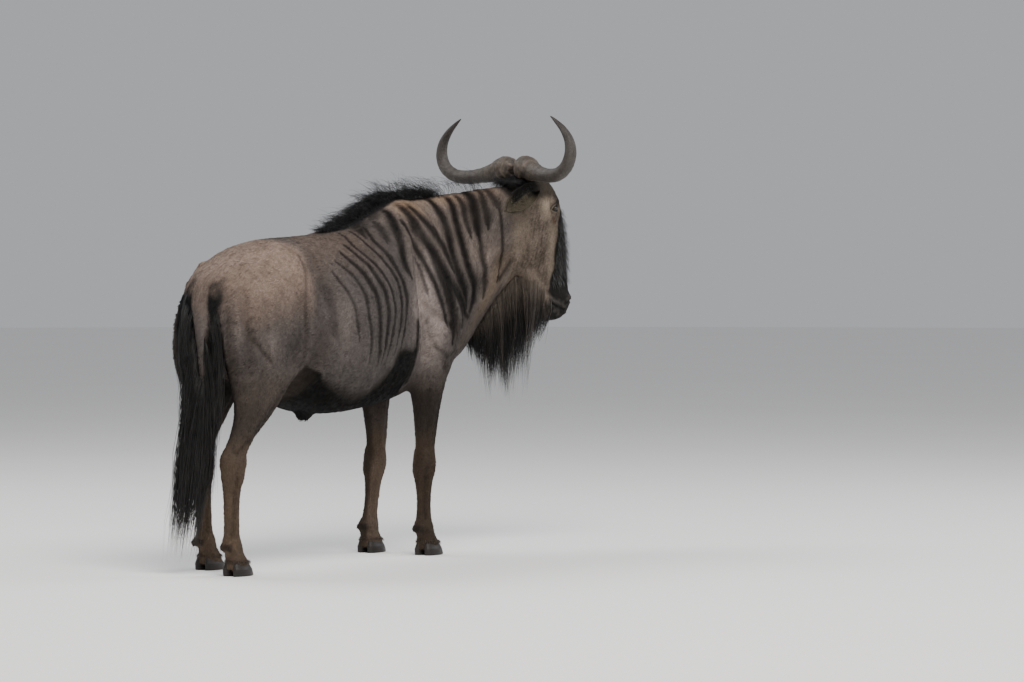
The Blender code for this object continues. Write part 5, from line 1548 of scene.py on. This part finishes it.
def eyelashes(locks, side):
    """The lashes of an upper lid."""
    out = mirrored(EYE_FACING, side)
    up = Vector((0, 0, 1))
    level = out.cross(up).normalized()
    for i in range(LASHES):
        a = (2 * (i + 0.5) / LASHES - 1) * 0.80
        lid = LID_HIGH * (1 - (a / LID_LONG) ** 2)
        way = (out * math.cos(lid) * math.cos(a) + level * math.sin(a) + up * math.sin(lid)).normalized()
        root = mirrored(EYE_AT, side) + way * (EYE_RADIUS + 0.0020)
        tip = root + way * 0.010 - up * 0.004 + level * math.sin(a) * 0.004
        ends = root, root + way * 0.006, tip
        head_lock(locks, ends, 3, (0.0006, 0.0006, 0.0003), 0.0005, up, HAIR_BLACK)


def nape_hair(locks):
    """The black hair behind the horns."""
    uniform = locks.draw.uniform
    for _ in range(NAPE_TUFTS):
        x, back = uniform(-0.060, 0.060), uniform(0.030, 0.085)
        z = 0.035 - 0.10 * back - 1.5 * x * x
        tip = (x * 1.35, back + 0.030, z - uniform(0.020, 0.050))
        ends = (x, back, z), (x * 1.15, back + 0.018, z + 0.012), tip
        head_lock(locks, ends, 14, (0.005, 0.006, 0.004), 0.0011, (x * 8, 0.3, 0.6), HAIR_BLACK)


def coronet_hair(locks):
    """The short hair that falls over the upper edge of each hoof."""
    uniform = locks.draw.uniform
    for kind, side in STANCE:
        _, front, back, half, x = LEGS[kind][-1]
        middle = (front + back) / 2 + float(stance_shift(kind, side, CORONET_Z))
        for a in circle(CORONET_TUFTS):
            out = np.array((math.cos(a), -math.sin(a), 0))
            root = np.array((side * x, -middle, CORONET_Z + 0.012)) + out * (half, (front - back) / 2, 0)
            bend, tip = (root + out * 0.001 + (0, 0, -down) for down in (0.008, uniform(0.012, 0.020)))
            locks.add(root, bend, tip, 10, (0.002, 0.002, 0.004), 0.5, 0.0010, out, LEG_HAIR, 0.06)


def short_hair(surface, material):
    """Forelock, ear fringes, eyelashes, nape hair and the hair over the hooves, as one piece."""
    locks = Locks(10)
    forelock(locks)
    for side in (-1, 1):
        ear_fringe(locks, side)
        eyelashes(locks, side)
    nape_hair(locks)
    coronet_hair(locks)
    locks.mesh("short_hair", surface, 3, 0.030, material)


def blaze_hair(surface, material):
    """The bushy black hair down the front of the face, lying towards the nose."""
    x, ahead, z = in_head(surface.middle).T
    front = smooth(-0.004, 0.012, ahead - np.interp(z, *BLAZE_EDGE))
    front = front * smooth(-0.400, -0.370, z) * smooth(-0.07, -0.12, z)
    places, normals, uv = surface.scatter(BLAZE_DENSITY * front * (np.abs(x) < 0.08) * ~surface.ear, 141)
    draw = np.random.default_rng(142)
    count = len(places)
    lengths, widths = draw.uniform(0.020, 0.042, count), np.full(count, 0.0018)
    colours = np.tile(BLAZE_GREY, (count, 1)) * draw.uniform(0.4, 1.5, (count, 1))
    way = lie_of_coat(places, normals)
    tufts("coat_blaze", places, normals, uv, way, lengths, widths, colours, 0.42, material, 143)


def softbox(name, place, size, watts, colour):
    """A large soft light, aimed at the middle of the animal."""
    data = bpy.data.lights.new(name, "AREA")
    data.shape = "RECTANGLE"
    data.size, data.size_y = size
    data.energy = watts
    data.color = colour
    light = add_object(name, data)
    middle = SHIFT + LIT_MIDDLE
    light.location = middle + Vector(place)
    light.rotation_euler = (middle - light.location).to_track_quat("-Z", "Y").to_euler()


def studio():
    """A pale floor, a pale room and large soft lights from above."""
    floor = bpy.data.materials.new("pale_floor")
    floor.use_nodes = True
    tree = floor.node_tree
    shade = new_node(tree, "ValToRGB")
    for stop, colour in zip(shade.color_ramp.elements, FLOOR_PALE):
        stop.color = colour
    shader = tree.nodes["Principled BSDF"]
    tree.links.new(noise_of(tree, 0.8, 3), shade.inputs["Fac"])
    tree.links.new(shade.outputs["Color"], shader.inputs["Base Color"])
    shader.inputs["Roughness"].default_value = 0.85
    mesh = bpy.data.meshes.new("floor")
    with editing(mesh) as work:
        bmesh.ops.create_circle(work, cap_ends=True, segments=96, radius=FLOOR_RADIUS)
    mesh.materials.append(floor)
    add_object("floor", mesh)
    world = bpy.data.worlds.new("room")
    bpy.context.scene.world = world
    world.use_nodes = True
    set_inputs(world.node_tree.nodes["Background"], {"Color": ROOM_PALE, "Strength": 0.50})
    softbox("key", (-4.5, 3.5, 6.5), (4.5, 4.5), 790, (1.0, 0.97, 0.93))
    softbox("fill", (-4.0, -4.5, 3.5), (4.0, 4.0), 170, (0.93, 0.96, 1.0))
    softbox("rim", (4.5, 0.5, 5.5), (4.0, 3.0), 260, (0.97, 0.98, 1.0))


def photo_camera():
    right = Vector((math.cos(VIEW_TURN), math.sin(VIEW_TURN), 0))
    ahead = Vector((-math.sin(VIEW_TURN), math.cos(VIEW_TURN), 0))
    pixel = VIEW_DISTANCE / LENS_PX
    data = bpy.data.cameras.new("photo_camera")
    data.sensor_width = SENSOR_MM
    data.lens = SENSOR_MM * LENS_PX / PHOTO_WIDTH
    data.clip_end = CLIP_END
    camera = add_object("photo_camera", data)
    place = SHIFT + right * HIND_HOOVES_LEFT_PX * pixel - ahead * VIEW_DISTANCE
    camera.location = place + Vector((0, 0, EYE_LEVEL_PX * pixel))
    camera.rotation_euler = (math.pi / 2 - math.atan(TILT_PX / LENS_PX), 0, VIEW_TURN)
    bpy.context.scene.camera = camera


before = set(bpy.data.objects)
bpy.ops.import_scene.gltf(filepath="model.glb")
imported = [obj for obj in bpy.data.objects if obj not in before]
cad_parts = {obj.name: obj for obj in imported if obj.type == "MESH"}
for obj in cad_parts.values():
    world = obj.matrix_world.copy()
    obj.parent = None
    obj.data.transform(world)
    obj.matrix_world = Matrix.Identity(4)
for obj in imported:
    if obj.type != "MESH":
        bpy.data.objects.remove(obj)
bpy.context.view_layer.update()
eye_low, eye_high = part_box("eye_right")
SHIFT = (eye_low + eye_high) / 2 - head_matrix() @ mirrored(EYE_AT, -1)
SHIFT.z = 0.0
SHIFT_ROW = np.array(SHIFT)

EVEN = (1, 1, 1)
hide = coat_material("hide", 0.66, 0.06, ((9, EVEN, 0.90, 1.10), (160, EVEN, 0.78, 1.20)),
                     (420, (1, 1, 0.35), 0.0012))
fur = coat_material("fur", 0.60, 0.05, ((14, EVEN, 0.88, 1.12),))
long_hair = coat_material("long_hair", 0.46, 0.30, ((30, EVEN, 0.80, 1.25),))
horn_stuff = coat_material("horn", 0.55, 0.30, ((22, EVEN, 0.80, 1.20), (200, EVEN, 0.75, 1.25)),
                           (150, EVEN, 0.0035))
hoof_stuff = coat_material("hoof", 0.48, 0.35, ((40, (1, 1, 0.3), 0.75, 1.25),), (300, (1, 1, 3), 0.0006))
eye_stuff = coat_material("eye", 0.14, 0.30, ((300, EVEN, 0.92, 1.08),), coat=0.4)

skin_mesh, ears_from = build_skin()
points, normals = coordinates(skin_mesh)
colours = coat_colour(points, normals)
colours[ears_from:] = ear_colour(points[ears_from:])
paint(skin_mesh, colours * SKIN_SHADE)
skin_mesh.materials.append(hide)
skin_mesh.shade_smooth()
skin = add_object("skin", skin_mesh)
unwrap(skin)
surface = Surface(skin_mesh, ears_from)
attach(skin, "root")
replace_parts(skin, "torso", "neck", "head", "foreleg_left", "foreleg_right", "hindleg_left", "hindleg_right",
            "ear_left", "ear_right", "tail")

short_coat(surface, fur)
for grow in (mane, beard, tail_hair, short_hair):
    grow(surface, long_hair)
blaze_hair(surface, fur)
skin_mesh.transform(Matrix.Translation(SHIFT))

for side, name in ((-1, "right"), (1, "left")):
    plain_piece("horn_skin_" + name, *fine_horn(side), horn_stuff, "horn_" + name, "horn")
    plain_piece("eyeball_" + name, *fine_eye(side), eye_stuff, "eye_" + name, "eye")
    for kind in ("fore", "hind"):
        for half in (1, -1):
            node = f"hoof_{kind}_{name}_{'inner' if half != side else 'outer'}"
            plain_piece("claw_" + node, *fine_claw(kind, side, half), hoof_stuff, node, "hoof")

studio()
photo_camera()
